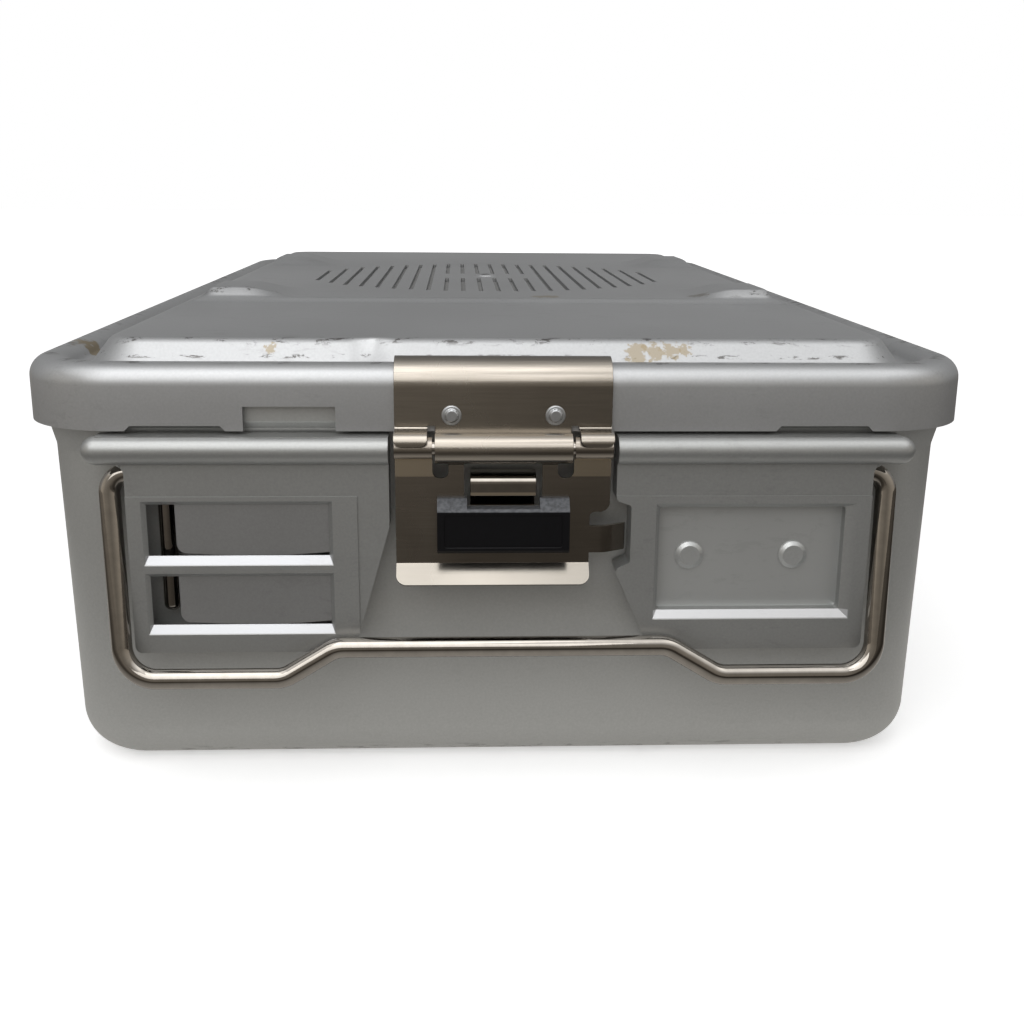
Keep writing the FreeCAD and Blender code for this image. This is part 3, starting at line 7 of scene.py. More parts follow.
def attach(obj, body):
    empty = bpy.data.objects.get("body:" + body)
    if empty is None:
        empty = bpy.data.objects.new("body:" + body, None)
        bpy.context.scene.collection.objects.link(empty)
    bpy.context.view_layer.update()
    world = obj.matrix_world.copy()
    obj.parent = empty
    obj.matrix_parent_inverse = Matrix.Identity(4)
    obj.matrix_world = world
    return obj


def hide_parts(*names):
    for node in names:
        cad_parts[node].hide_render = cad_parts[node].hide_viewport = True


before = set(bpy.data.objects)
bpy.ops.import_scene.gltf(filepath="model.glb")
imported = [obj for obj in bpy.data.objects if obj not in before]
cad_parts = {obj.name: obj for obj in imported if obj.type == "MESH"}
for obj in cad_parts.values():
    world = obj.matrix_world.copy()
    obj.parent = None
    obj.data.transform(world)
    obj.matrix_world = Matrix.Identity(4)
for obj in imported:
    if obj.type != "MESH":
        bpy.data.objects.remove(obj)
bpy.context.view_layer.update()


# Tub. A deep-drawn aluminium pan with slightly drafted walls, a wide rounding
# between wall and base, and a flared collar that goes up inside the lid. Its
# blasted and anodized skin is satin, with a few dark scuffs along the bottom.
WIDTH, LENGTH, PLAN_CORNER, RIM = 0.280, 0.476, 0.030, 0.126
TUB_SHEET, DRAFT, FLARE = 0.002, np.tan(np.radians(1.0)), RIM - 0.027


def plan_ring(x_lines, y_lines, corner_steps):
    """Points round the plan outline, anticlockwise from the front's left end.

    Each point is the corner-arc centre that belongs to it plus a unit normal:
    an outline drawn in by d is centre + normal * (corner radius - d), so one
    table gives every offset of the rounded rectangle.
    """
    half_x, half_y = WIDTH / 2 - PLAN_CORNER, LENGTH / 2 - PLAN_CORNER
    arc = np.linspace(0, np.pi / 2, corner_steps + 2)[1:-1]
    centres, normals = [], []
    sides = [(x_lines, -np.pi / 2), (y_lines, 0.0), (x_lines[::-1], np.pi / 2),
             (y_lines[::-1], np.pi)]
    for number, (line, facing) in enumerate(sides):
        normal = np.array([np.cos(facing), np.sin(facing)])
        if number in (0, 2):
            flat = np.column_stack([line, np.full(len(line), half_y * normal[1])])
        else:
            flat = np.column_stack([np.full(len(line), half_x * normal[0]), line])
        centres.append(flat)
        normals.append(np.tile(normal, (len(line), 1)))
        turn = facing + arc
        centres.append(np.tile(flat[-1], (len(arc), 1)))
        normals.append(np.column_stack([np.cos(turn), np.sin(turn)]))
    return np.vstack(centres), np.vstack(normals)


def rounded_path(corners, radii, step):
    """Straight runs between 2-D corners with true arcs of the given radii."""
    corners = np.array(corners, float)
    chain = [corners[:1]]
    for before, corner, after, radius in zip(corners, corners[1:], corners[2:], radii):
        back = (before - corner) / np.hypot(*(before - corner))
        on = (after - corner) / np.hypot(*(after - corner))
        half = np.arccos(np.clip(back @ on, -1, 1)) / 2
        middle = corner + (back + on) / np.hypot(*(back + on)) * radius / np.sin(half)
        start = corner + back * radius / np.tan(half) - middle
        sweep = np.sign(back[0] * on[1] - back[1] * on[0]) * -(np.pi - 2 * half)
        t = np.linspace(0, sweep, max(4, int(abs(sweep) * radius / step)))
        cos, sin = np.cos(t)[:, None], np.sin(t)[:, None]
        turned = np.column_stack([-start[1:2], start[0:1]]) * np.ones_like(cos)
        chain.append(middle + cos * start + sin * turned)
    chain.append(corners[-1:])
    return np.vstack(chain)


def ring_surface(centres, normals, profile):
    """Vertices (profile point by ring point) of a profile swept round the plan."""
    reach = PLAN_CORNER - profile[:, 0]
    plan = centres[None] + normals[None] * reach[:, None, None]
    height = np.broadcast_to(profile[:, 1][:, None], plan.shape[:2])
    return np.dstack([plan, height])


def grid_faces(rows, columns, closed, start=0):
    """Quads of a rows by columns vertex grid, closed round the columns if asked."""
    r, c = np.meshgrid(np.arange(rows - 1), np.arange(columns if closed else columns - 1),
                       indexing="ij")
    nxt = (c + 1) % columns
    quads = np.stack([r * columns + c, r * columns + nxt, (r + 1) * columns + nxt,
                      (r + 1) * columns + c], axis=-1)
    return quads.reshape(-1, 4) + start


def make_mesh(name, vertices, faces, smooth_angle):
    """A mesh object from arrays: doubles merged, sharp by angle and along open edges."""
    merge = 1e-6
    mesh = bpy.data.meshes.new(name)
    mesh.from_pydata(np.asarray(vertices).reshape(-1, 3).tolist(), [], [list(f) for f in faces])
    work = bmesh.new()
    work.from_mesh(mesh)
    bmesh.ops.remove_doubles(work, verts=work.verts, dist=merge)
    bmesh.ops.dissolve_degenerate(work, edges=work.edges, dist=merge)
    loose = [v for v in work.verts if not v.link_faces]
    bmesh.ops.delete(work, geom=loose, context="VERTS")
    bmesh.ops.recalc_face_normals(work, faces=work.faces)
    work.edges.index_update()
    open_edges = [e.index for e in work.edges if len(e.link_faces) == 1]
    work.to_mesh(mesh)
    work.free()
    mesh.polygons.foreach_set("use_smooth", np.ones(len(mesh.polygons), bool))
    mesh.set_sharp_from_angle(angle=np.radians(smooth_angle))
    for number in open_edges:
        mesh.edges[number].use_edge_sharp = True
    piece = bpy.data.objects.new(name, mesh)
    bpy.context.collection.objects.link(piece)
    return piece


def thicken(piece, thickness):
    """Give a sheet its thickness, on the inner side."""
    wall = piece.modifiers.new("sheet", "SOLIDIFY")
    wall.thickness = thickness
    wall.offset = -1.0


def node_tree(name):
    """A new material with its tree, its shader and a shortcut for adding nodes."""
    material = bpy.data.materials.new(name)
    material.use_nodes = True
    tree = material.node_tree
    shader = tree.nodes["Principled BSDF"]

    def add(kind, **sockets):
        node = tree.nodes.new(kind)
        for socket, value in sockets.items():
            node.inputs[socket.replace("_", " ")].default_value = value
        return node

    return material, tree, shader, add


def ramp(tree, source, stops):
    """Colour ramp of a value; stops are (position, colour)."""
    node = tree.nodes.new("ShaderNodeValToRGB")
    node.color_ramp.elements[0].position, node.color_ramp.elements[0].color = stops[0]
    node.color_ramp.elements[1].position, node.color_ramp.elements[1].color = stops[-1]
    for position, colour in stops[1:-1]:
        node.color_ramp.elements.new(position).color = colour
    tree.links.new(source, node.inputs["Fac"])
    return node


def gray(value):
    """An opaque gray."""
    return (value, value, value, 1)


def scale_by(tree, colour, factor):
    """A colour socket times a value or colour socket."""
    node = tree.nodes.new("ShaderNodeMix")
    node.data_type = "RGBA"
    node.blend_type = "MULTIPLY"
    node.inputs["Factor"].default_value = 1.0
    tree.links.new(colour, node.inputs["A"])
    tree.links.new(factor, node.inputs["B"])
    return node.outputs["Result"]


def stain_mask(tree, place, centre, size):
    """Value that fades from 1 to 0 with the distance from a point, with a ragged edge.

    Noise times ragged is added to the distance. The noise is about a half on
    average, so the limits of the fade are moved out by half of ragged.
    """
    inner, outer, ragged = size * 0.6, size * 0.9, size * 2.2
    gap = tree.nodes.new("ShaderNodeVectorMath")
    gap.operation = "DISTANCE"
    tree.links.new(place, gap.inputs[0])
    gap.inputs[1].default_value = centre
    noise = tree.nodes.new("ShaderNodeTexNoise")
    noise.inputs["Scale"].default_value = 2.2 / size
    noise.inputs["Detail"].default_value = 5.0
    tree.links.new(place, noise.inputs["Vector"])
    warp = tree.nodes.new("ShaderNodeMath")
    warp.operation = "MULTIPLY_ADD"
    tree.links.new(noise.outputs["Fac"], warp.inputs[0])
    warp.inputs[1].default_value = ragged
    tree.links.new(gap.outputs["Value"], warp.inputs[2])
    fade = tree.nodes.new("ShaderNodeMapRange")
    fade.interpolation_type = "SMOOTHSTEP"
    fade.inputs["From Min"].default_value = inner + ragged / 2
    fade.inputs["From Max"].default_value = outer + ragged / 2
    fade.inputs["To Min"].default_value = 1.0
    fade.inputs["To Max"].default_value = 0.0
    tree.links.new(warp.outputs[0], fade.inputs["Value"])
    return fade.outputs["Result"]


def tint(tree, colour, mask, mark, amount):
    """Mix a mark's colour into a colour socket where a mask says so."""
    share = tree.nodes.new("ShaderNodeMath")
    share.operation = "MULTIPLY"
    tree.links.new(mask, share.inputs[0])
    share.inputs[1].default_value = amount
    mix = tree.nodes.new("ShaderNodeMix")
    mix.data_type = "RGBA"
    tree.links.new(share.outputs[0], mix.inputs["Factor"])
    tree.links.new(colour, mix.inputs["A"])
    mix.inputs["B"].default_value = mark + (1,)
    return mix.outputs["Result"]


def along(tree, place, axis, stops):
    """Value by position along one axis; stops are (metres, value), X and Y without sign."""
    split = tree.nodes.new("ShaderNodeSeparateXYZ")
    tree.links.new(place, split.inputs[0])
    size = tree.nodes.new("ShaderNodeMath")
    size.operation = "ABSOLUTE"
    tree.links.new(split.outputs[axis], size.inputs[0])
    low, high = stops[0][0], stops[-1][0]
    unit = tree.nodes.new("ShaderNodeMapRange")
    unit.inputs["From Min"].default_value, unit.inputs["From Max"].default_value = low, high
    tree.links.new(size.outputs[0], unit.inputs["Value"])
    shares = [((at - low) / (high - low), gray(value)) for at, value in stops]
    return ramp(tree, unit.outputs["Result"], shares).outputs["Color"]


def zone_mask(tree, place, zone):
    """Product of the bands of a zone."""
    mask = along(tree, place, *zone[0])
    for axis, stops in zone[1:]:
        mask = scale_by(tree, mask, along(tree, place, axis, stops))
    return mask


def satin_aluminium(name, colour, roughness, metallic, wear, scuffed=(), stains=(), toned=()):
    """Blasted, anodized aluminium: cloudy sheen, fine grain, sparse dark nicks.

    Wear is how strongly the nicks show. A zone is a list of (axis, stops) that
    are multiplied: nicks gather in the scuffed zones, and toned is a list of
    (zone, colour). A stain is a (centre, size, colour, strength) patch.
    """
    nick_colour, scuff_strength, tone_strength = (0.07, 0.065, 0.06), 0.9, 0.85
    material, tree, shader, add = node_tree(name)
    link = tree.links.new
    place = add("ShaderNodeTexCoord").outputs["Object"]
    clouds = add("ShaderNodeTexNoise", Scale=9.0, Detail=4.0, Roughness=0.6)
    fine = add("ShaderNodeTexNoise", Scale=1400.0, Detail=3.0)
    spots = add("ShaderNodeTexNoise", Scale=260.0, Detail=8.0, Roughness=0.75, Distortion=0.4)
    patches = add("ShaderNodeTexNoise", Scale=22.0, Detail=2.0)
    for node in (clouds, fine, patches):
        link(place, node.inputs["Vector"])
    drawn = add("ShaderNodeMapping")
    drawn.inputs["Scale"].default_value = (0.45, 1.0, 1.3)
    link(place, drawn.inputs["Vector"])
    link(drawn.outputs["Vector"], spots.inputs["Vector"])
    tone = ramp(tree, clouds.outputs["Fac"], [
        (0.3, tuple(c * 0.95 for c in colour) + (1,)), (0.7, tuple(colour) + (1,))])
    grain = ramp(tree, fine.outputs["Fac"], [(0.25, gray(0.90)), (0.75, gray(1.0))])
    skin = scale_by(tree, tone.outputs["Color"], grain.outputs["Color"])
    nick = ramp(tree, spots.outputs["Fac"], [(0.55, gray(0)), (0.60, gray(1))])
    where = ramp(tree, patches.outputs["Fac"], [(0.47, gray(0)), (0.60, gray(1))])
    mask = scale_by(tree, nick.outputs["Color"], where.outputs["Color"])
    for zone, mark in toned:
        skin = tint(tree, skin, zone_mask(tree, place, zone), mark, tone_strength)
    skin = tint(tree, skin, mask, nick_colour, wear)
    for zone in scuffed:
        mask = scale_by(tree, nick.outputs["Color"], zone_mask(tree, place, zone))
        skin = tint(tree, skin, mask, nick_colour, scuff_strength)
    for centre, size, mark, strength in stains:
        skin = tint(tree, skin, stain_mask(tree, place, centre, size), mark, strength)
    link(skin, shader.inputs["Base Color"])
    rough = ramp(tree, clouds.outputs["Fac"], [
        (0.25, gray(roughness - 0.04)), (0.75, gray(roughness + 0.04))])
    link(rough.outputs["Color"], shader.inputs["Roughness"])
    shader.inputs["Metallic"].default_value = metallic
    bump = add("ShaderNodeBump", Strength=0.25, Distance=0.00003)
    link(fine.outputs["Fac"], bump.inputs["Height"])
    link(bump.outputs["Normal"], shader.inputs["Normal"])
    return material


half_x, half_y = WIDTH / 2 - PLAN_CORNER, LENGTH / 2 - PLAN_CORNER
ring_x = np.linspace(-half_x, half_x, 45)
ring_y = np.linspace(-half_y, half_y, 85)
centres, normals = plan_ring(ring_x, ring_y, corner_steps=22)
tub_outline = [(PLAN_CORNER, 0.0), (0.006 + FLARE * DRAFT, 0.0), (0.006, FLARE),
               (0.004, RIM - 0.019), (0.0027, RIM - 0.017), (0.0027, RIM - 0.0061)]
tub_profile = rounded_path(tub_outline, [0.014, 0.004, 0.0012, 0.001], step=0.0008)
tub_profile = np.vstack([tub_profile[:1], tub_profile])
wall = ring_surface(centres, normals, tub_profile)
rows, columns = wall.shape[:2]
gx, gy = np.meshgrid(ring_x, ring_y)
floor_grid = np.dstack([gx, gy, np.zeros_like(gx)])
tub_vertices = np.vstack([wall.reshape(-1, 3), floor_grid.reshape(-1, 3)])
tub_faces = np.vstack([grid_faces(rows, columns, closed=True),
                       grid_faces(len(ring_y), len(ring_x), closed=False, start=rows * columns)])
tub = make_mesh("tub", tub_vertices, tub_faces, smooth_angle=60)
thicken(tub, TUB_SHEET)
foot_of_ends = [("Z", [(0.0, 0.8), (0.003, 0.7), (0.006, 0)]),
                ("Y", [(0.2150, 0), (0.2200, 1), (0.2400, 1)])]
tub_skin = satin_aluminium("tub satin aluminium", (0.46, 0.463, 0.45), roughness=0.46,
                           metallic=0.7, wear=0.05, scuffed=[foot_of_ends])
tub.data.materials.append(tub_skin)
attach(tub, "bottom")
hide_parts("container_bottom")


# Label holders and their rivets. Die-cast aluminium trays with a half-round
# bead along the top: two card windows at the left, one plate recess at the
# right. Tumbled smooth, so every edge is softened. Riveted through the wall.
ENDS = {"front": 1.0, "rear": -1.0}
HOLDER_GRAY = (0.35, 0.354, 0.348)


def softened(node, rounding, segments=2, shade=28):
    """A copy of a CAD piece with merged corners, flat faces joined and edges rounded.

    The rounding has a width and segments. Shading is sharp from shade degrees.
    """
    weld, flat_within, rounded_from = 1e-5, np.radians(0.5), np.radians(28)
    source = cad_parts[node]
    mesh = source.data.copy()
    mesh.name = node + "_finished"
    work = bmesh.new()
    work.from_mesh(mesh)
    bmesh.ops.remove_doubles(work, verts=work.verts, dist=weld)
    bmesh.ops.dissolve_degenerate(work, edges=work.edges, dist=weld)
    bmesh.ops.dissolve_limit(work, angle_limit=flat_within, verts=work.verts, edges=work.edges)
    work.to_mesh(mesh)
    work.free()
    mesh.polygons.foreach_set("use_smooth", np.ones(len(mesh.polygons), bool))
    mesh.set_sharp_from_angle(angle=np.radians(shade))
    piece = bpy.data.objects.new(node + "_finished", mesh)
    bpy.context.collection.objects.link(piece)
    if rounding:
        edge = piece.modifiers.new("edges", "BEVEL")
        edge.width = rounding
        edge.segments = segments
        edge.limit_method = "ANGLE"
        edge.angle_limit = rounded_from
        edge.use_clamp_overlap = True
        edge.harden_normals = True
    flats = piece.modifiers.new("flats", "WEIGHTED_NORMAL")
    flats.keep_sharp = True
    mesh.materials.clear()
    return piece


def finish_piece(node, body, slot, material, rounding=0.0, **more):
    """Soften one CAD piece, and give it its material and body. The slot is not used."""
    piece = softened(node, rounding, **more)
    piece.data.materials.append(material)
    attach(piece, body)
    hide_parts(node)


# Painted highlight: the card windows' sill bevels are toned lighter, as if they caught the overhead
# light.
card_sill_highlights = [("X", [(0.0490, 0), (0.0494, 1), (0.1022, 1), (0.1026, 0)]),
              ("Y", [(0.2398, 0), (0.2400, 1), (0.2413, 1), (0.24145, 0)]),
              ("Z", [(0.0470, 0), (0.0472, 1), (0.0498, 1), (0.0500, 0),
                     (0.0680, 0), (0.0682, 1), (0.0708, 1), (0.0710, 0)])]
holder_skin = satin_aluminium("holder satin aluminium", HOLDER_GRAY, roughness=0.42,
                              metallic=0.75, wear=0.08, toned=[(card_sill_highlights, (0.51, 0.52, 0.54))])
rivet_skin = satin_aluminium("rivet aluminium", (0.42, 0.43, 0.44), roughness=0.38,
                             metallic=0.9, wear=0.1)
recess = [("X", [(0.0448, 0), (0.0450, 1), (0.1002, 1), (0.1004, 0)]),
          ("Y", [(0.2355, 0), (0.2358, 1), (0.2371, 1), (0.2374, 0)]),
          ("Z", [(0.0530, 0), (0.0532, 1), (0.0854, 1), (0.0856, 0)])]
# Painted highlight: the plate recess's sill bevel is toned much lighter, as if it caught the overhead
# light.
plate_sill_highlight = [("X", [(0.0440, 0), (0.0444, 1), (0.1025, 1), (0.1029, 0)]),
              ("Y", [(0.2400, 0), (0.2402, 1), (0.2413, 1), (0.24145, 0)]),
              ("Z", [(0.0507, 0), (0.0510, 1), (0.0536, 1), (0.0538, 0)])]
plate_skin = satin_aluminium("plate holder satin aluminium", HOLDER_GRAY, roughness=0.42,
                             metallic=0.75, wear=0.08,
                             toned=[(recess, (0.50, 0.51, 0.505)),
                                    (plate_sill_highlight, (0.72, 0.73, 0.75))])
plate_rivet_skin = satin_aluminium("plate rivet aluminium", (0.48, 0.49, 0.485), roughness=0.42,
                                   metallic=0.75, wear=0.05)
for end in ENDS:
    finish_piece("indicator_holder_" + end, "bottom", "holder_aluminium", holder_skin,
                 rounding=0.0004, shade=15)
    finish_piece("nameplate_holder_" + end, "bottom", "holder_aluminium", plate_skin,
                 rounding=0.0004, shade=15)
    finish_piece("holder_rivets_" + end, "bottom", "rivet_aluminium", plate_rivet_skin,
                 rounding=0.0010, segments=5, shade=75)
    finish_piece("catch_rivets_" + end, "bottom", "rivet_aluminium", rivet_skin, rounding=0.0003)


# Small fittings of the tub: a catch hook bent from polished stainless strip, a
# polished stainless stop rod, and a sprung aluminium sheet behind the cards.
POLISHED_STEEL = (0.33, 0.305, 0.275)
POLISH = {"roughness": 0.055, "brush": (300, 300, 300), "strength": 0.1}
BRUSH = {"roughness": 0.24, "brush": (60, 900, 2500), "strength": 0.3}


def stainless(name, colour, roughness, brush, strength, toned=()):
    """Stainless steel with brush lines: noise whose scale along each axis is brush.

    Strength is the height of the lines. Toned is a list of (zone, colour).
    """
    tone_strength, lowest_roughness = 0.8, 0.03
    material, tree, shader, add = node_tree(name)
    link = tree.links.new
    place = add("ShaderNodeTexCoord").outputs["Object"]
    stretch = add("ShaderNodeMapping")
    stretch.inputs["Scale"].default_value = brush
    link(place, stretch.inputs["Vector"])
    lines = add("ShaderNodeTexNoise", Scale=1.0, Detail=4.0, Roughness=0.6)
    link(stretch.outputs["Vector"], lines.inputs["Vector"])
    clouds = add("ShaderNodeTexNoise", Scale=35.0, Detail=3.0)
    link(place, clouds.inputs["Vector"])
    tone = ramp(tree, lines.outputs["Fac"], [
        (0.3, tuple(c * 0.85 for c in colour) + (1,)), (0.7, tuple(colour) + (1,))])
    skin = tone.outputs["Color"]
    for zone, mark in toned:
        skin = tint(tree, skin, zone_mask(tree, place, zone), mark, tone_strength)
    link(skin, shader.inputs["Base Color"])
    rough = ramp(tree, clouds.outputs["Fac"], [
        (0.3, gray(max(roughness - 0.05, lowest_roughness))), (0.7, gray(roughness + 0.05))])
    link(rough.outputs["Color"], shader.inputs["Roughness"])
    shader.inputs["Metallic"].default_value = 1.0
    bump = add("ShaderNodeBump", Strength=strength, Distance=0.00003)
    link(lines.outputs["Fac"], bump.inputs["Height"])
    link(bump.outputs["Normal"], shader.inputs["Normal"])
    return material


polished = stainless("polished stainless", POLISHED_STEEL, **POLISH)
# Painted highlight: a bright band is toned along the hook's lower nose edge.
nose_highlight = [("Z", [(0.0880, 1), (0.0894, 1), (0.0898, 0)]),
             ("Y", [(0.2370, 0), (0.2380, 1), (0.2500, 1)])]
hook_steel = stainless("hook stainless", POLISHED_STEEL, **POLISH,
                       toned=[(nose_highlight, (0.90, 0.80, 0.66))])
brushed = stainless("brushed stainless", (0.34, 0.31, 0.27), **BRUSH)
card_skin = satin_aluminium("card sheet aluminium", (0.37, 0.375, 0.38), roughness=0.42,
                            metallic=0.85, wear=0.1)
for end in ENDS:
    finish_piece("catch_hook_" + end, "bottom", "polished_stainless", hook_steel,
                 rounding=0.0009, segments=4)
    finish_piece("card_spring_" + end, "bottom", "lid_aluminium", card_skin, rounding=0.0002)
    finish_piece("label_stop_rod_" + end, "bottom", "polished_stainless", polished)


# Wire handle. A 6 mm polished stainless wire, bent into a bail with an offset
# grip. Its two arms turn in the holders' ribs.
PIVOT_Y, PIVOT_Z, TILT = -0.2362, RIM - 0.0316, np.radians(9.9)
WIRE_RADIUS, WIRE_SIDES, WIRE_STEP = 0.0030, 24, 0.0006


def tube(path, radius):
    """Rings round a path in the XZ plane: centre + radius (cos a across, sin a along Y)."""
    ahead = np.gradient(path, axis=0)
    ahead /= np.linalg.norm(ahead, axis=1)[:, None]
    across = np.column_stack([-ahead[:, 1], ahead[:, 0]])
    a = np.linspace(0, 2 * np.pi, WIRE_SIDES, endpoint=False)
    x = path[:, 0, None] + radius * np.cos(a) * across[:, 0, None]
    z = path[:, 1, None] + radius * np.cos(a) * across[:, 1, None]
    y = np.broadcast_to(radius * np.sin(a), x.shape)
    return np.dstack([x, y, z])


half_route = [(-0.0720, 0), (-0.1125, 0), (-0.1095, -0.0599), (-0.0635, -0.0599),
              (-0.0485, -0.0510)]
half_radii = [0.0055, 0.0100, 0.0090, 0.0090]
route = half_route + [(-x, z) for x, z in half_route[::-1]]
wire_path = rounded_path(route, half_radii + half_radii[::-1], WIRE_STEP)
wire = tube(wire_path, WIRE_RADIUS)
rows, columns = wire.shape[:2]
caps = np.array([np.arange(columns), (rows - 1) * columns + np.arange(columns)])
for end, sense in ENDS.items():
    cos, sin = np.cos(TILT), np.sin(TILT)
    y = wire[..., 1] * cos + wire[..., 2] * sin
    z = wire[..., 2] * cos - wire[..., 1] * sin
    placed = np.dstack([wire[..., 0] * sense, (y + PIVOT_Y) * sense, z + PIVOT_Z])
    bail_faces = grid_faces(rows, columns, closed=True).tolist() + caps.tolist()
    bail = make_mesh("bail_" + end, placed, bail_faces, smooth_angle=50)
    bail.data.materials.append(polished)
    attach(bail, "handle_" + end)
    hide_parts("handle_bail_" + end)


# Lid. Pressed from one aluminium sheet: skirt, raised rim, gutter and a dome
# in two steps, with four stacking pads. Slits over the filter fill a round
# field; the middle ones leave a bridge for the filter's stud.
LID_SHEET, SLITS, PITCH, SLIT_HALF, FIELD, BRIDGE = 0.0015, 22, 0.0071, 0.0009, 0.080, 0.014
DOME, RIDGE, PAD, SIDE_STEP = 0.0048, 0.0017, 0.0035, 0.005
RIDGE_SIDE, RIDGE_END = (-0.1147, -0.1092), (-0.1140, -0.1085)
PAD_OUTER_SIDE, PAD_INNER_SIDE = (-0.1092, -0.1056), (0.0740, 0.0945)
PAD_OUTER_END, PAD_INNER_END = (-0.1085, -0.1048), (0.0580, 0.0788)
NOTCH, NOTCH_TOP, SHALLOW, SHALLOW_RISE = (0.0475, 0.0735), 0.0122, (0.0800, 0.1052), 0.0015
DENT_PLACE, DENT_SPREAD, DENT_DEPTH = 0.0405, 0.0028, 0.0025
TOO_CLOSE = 4e-4
LID_GRAY = (0.42, 0.425, 0.43)


def ease(value, low, high):
    """Smooth step from 0 at low to 1 at high."""
    t = np.clip((value - low) / (high - low), 0, 1)
    return t * t * (3 - 2 * t)


def crown_height(x, y):
    """Second plateau, and its four raised corners, above the first plateau.

    A step that falls outwards is taken of the negative distance from the
    middle, so its two limits are negative.
    """
    ridge = ease(-np.abs(x), *RIDGE_SIDE) * ease(-np.abs(y), *RIDGE_END)
    pad = (ease(-np.abs(x), *PAD_OUTER_SIDE) * ease(np.abs(x), *PAD_INNER_SIDE)
           * ease(-np.abs(y), *PAD_OUTER_END) * ease(np.abs(y), *PAD_INNER_END))
    return RIDGE * ridge + PAD * pad


# Grid lines: both edges of every slit, and the ends of the skirt's cuts.
slit_x = PITCH * (np.arange(SLITS) - (SLITS - 1) / 2)
slit_lines = np.sort(np.concatenate([slit_x - SLIT_HALF, slit_x + SLIT_HALF]))
edge_lines = np.concatenate([np.arange(0.0790, 0.1095, 0.0022), [half_x]])
cut_lines = np.array([NOTCH[0], NOTCH[1], SHALLOW[0] - SHALLOW_RISE, SHALLOW[0], SHALLOW[1],
                      SHALLOW[1] + SHALLOW_RISE])
cut_lines = np.concatenate([-cut_lines[::-1], cut_lines])
lid_x = np.concatenate([-edge_lines[::-1], slit_lines, edge_lines])
lid_x = lid_x[np.abs(lid_x[:, None] - cut_lines).min(1) > TOO_CLOSE]
lid_x = np.unique(np.round(np.concatenate([lid_x, cut_lines]), 6))
lid_y = np.linspace(-half_y, half_y, 245)
lid_centres, lid_normals = plan_ring(lid_x, lid_y, corner_steps=26)
# The outer rings, from the skirt's lower edge over rim, gutter and slope to the plateau.
lid_outline = [(0.0, RIM - 0.0192), (0.0, RIM), (0.0094, RIM - 0.0006), (0.0100, RIM - 0.0040),
               (0.0123, RIM - 0.0040), (0.0193, RIM + DOME), (PLAN_CORNER, RIM + DOME)]
lid_profile = rounded_path(lid_outline, [0.0062, 0.0022, 0.0009, 0.0015, 0.0040], step=0.0008)
lid_profile = np.insert(lid_profile, 1, (0.0, RIM - NOTCH_TOP), axis=0)
plateau_reach = np.linspace(0.0223, 0.029, 7)
plateau = np.column_stack([plateau_reach, np.full_like(plateau_reach, RIM + DOME)])
lid_profile = np.vstack([lid_profile[:-1], plateau, lid_profile[-1:]])
shell = ring_surface(lid_centres, lid_normals, lid_profile)
# The dome's long sides lie further in than its ends.
step_in = np.interp(lid_profile[:, 0], [0, 0.0085, 0.0098, 0.0123, 0.0225, 0.0300],
                    [0, 0, 0.5, 1, 1, 0]) * SIDE_STEP
shell[..., 0] -= step_in[:, None] * (lid_centres[:, 0] / half_x)[None]
inside = shell[..., 2] > RIM + DOME - 1e-5
shell[..., 2] += np.where(inside, crown_height(shell[..., 0], shell[..., 1]), 0)
# The skirt's lower edge is cut a little shorter over part of each holder.
flat_end = np.abs(lid_normals[:, 1]) > 0.999
ring_at = np.abs(lid_centres[:, 0])
shallow = (np.clip((ring_at - SHALLOW[0]) / SHALLOW_RISE + 1, 0, 1)
           * np.clip((SHALLOW[1] - ring_at) / SHALLOW_RISE + 1, 0, 1))
shell[0, :, 2] += SHALLOW_RISE * shallow * flat_end
# A small dent in each end's slope, beside the latch.
front_side = lid_normals[:, 1] < 0
facing_in = np.where(front_side, 1, -1)
dent = np.exp(-((lid_centres[:, 0] * facing_in + DENT_PLACE) / DENT_SPREAD) ** 2)
on_slope = ease(lid_profile[:, 0], 0.0118, 0.0150) * ease(-lid_profile[:, 0], -0.0215, -0.0180)
sink = DENT_DEPTH * (dent * flat_end)[None] * on_slope[:, None]
shell[..., 1] += sink * facing_in[None]
# The skirt is notched once at each end, left of the latch.
rows, columns = shell.shape[:2]
ring_quads = grid_faces(rows, columns, closed=True)
middle = shell.reshape(-1, 3)[ring_quads].mean(axis=1)
turned = middle[:, 0] * -np.sign(middle[:, 1])
in_notch = (middle[:, 2] < RIM - NOTCH_TOP) & (np.abs(middle[:, 1]) > LENGTH / 2 - 0.003)
in_notch &= (turned > -NOTCH[1]) & (turned < -NOTCH[0])
ring_quads = ring_quads[~in_notch]
# The plateaus within the rings, without the faces that lie in a slit.
gx, gy = np.meshgrid(lid_x, lid_y)
crown = np.dstack([gx, gy, RIM + DOME + crown_height(gx, gy)])
crown_quads = grid_faces(len(lid_y), len(lid_x), closed=False)
flat = crown.reshape(-1, 3)
middle = flat[crown_quads].mean(axis=1)
column = np.abs(middle[:, 0, None] - slit_x).argmin(1)
in_slit = np.abs(middle[:, 0] - slit_x[column]) < SLIT_HALF * 0.9
reach = np.sqrt(np.maximum(FIELD ** 2 - slit_x[column] ** 2, 0))
bridged = np.abs(slit_x[column]) < 3 * PITCH
in_slit &= (np.abs(middle[:, 1]) < reach) & ~(bridged & (np.abs(middle[:, 1]) < BRIDGE))
lid_vertices = np.vstack([shell.reshape(-1, 3), flat])
lid_faces = np.vstack([ring_quads, crown_quads[~in_slit] + rows * columns])
lid = make_mesh("lid", lid_vertices, lid_faces, smooth_angle=60)
thicken(lid, LID_SHEET)
TAN, BROWN = (0.25, 0.20, 0.12), (0.16, 0.14, 0.11)
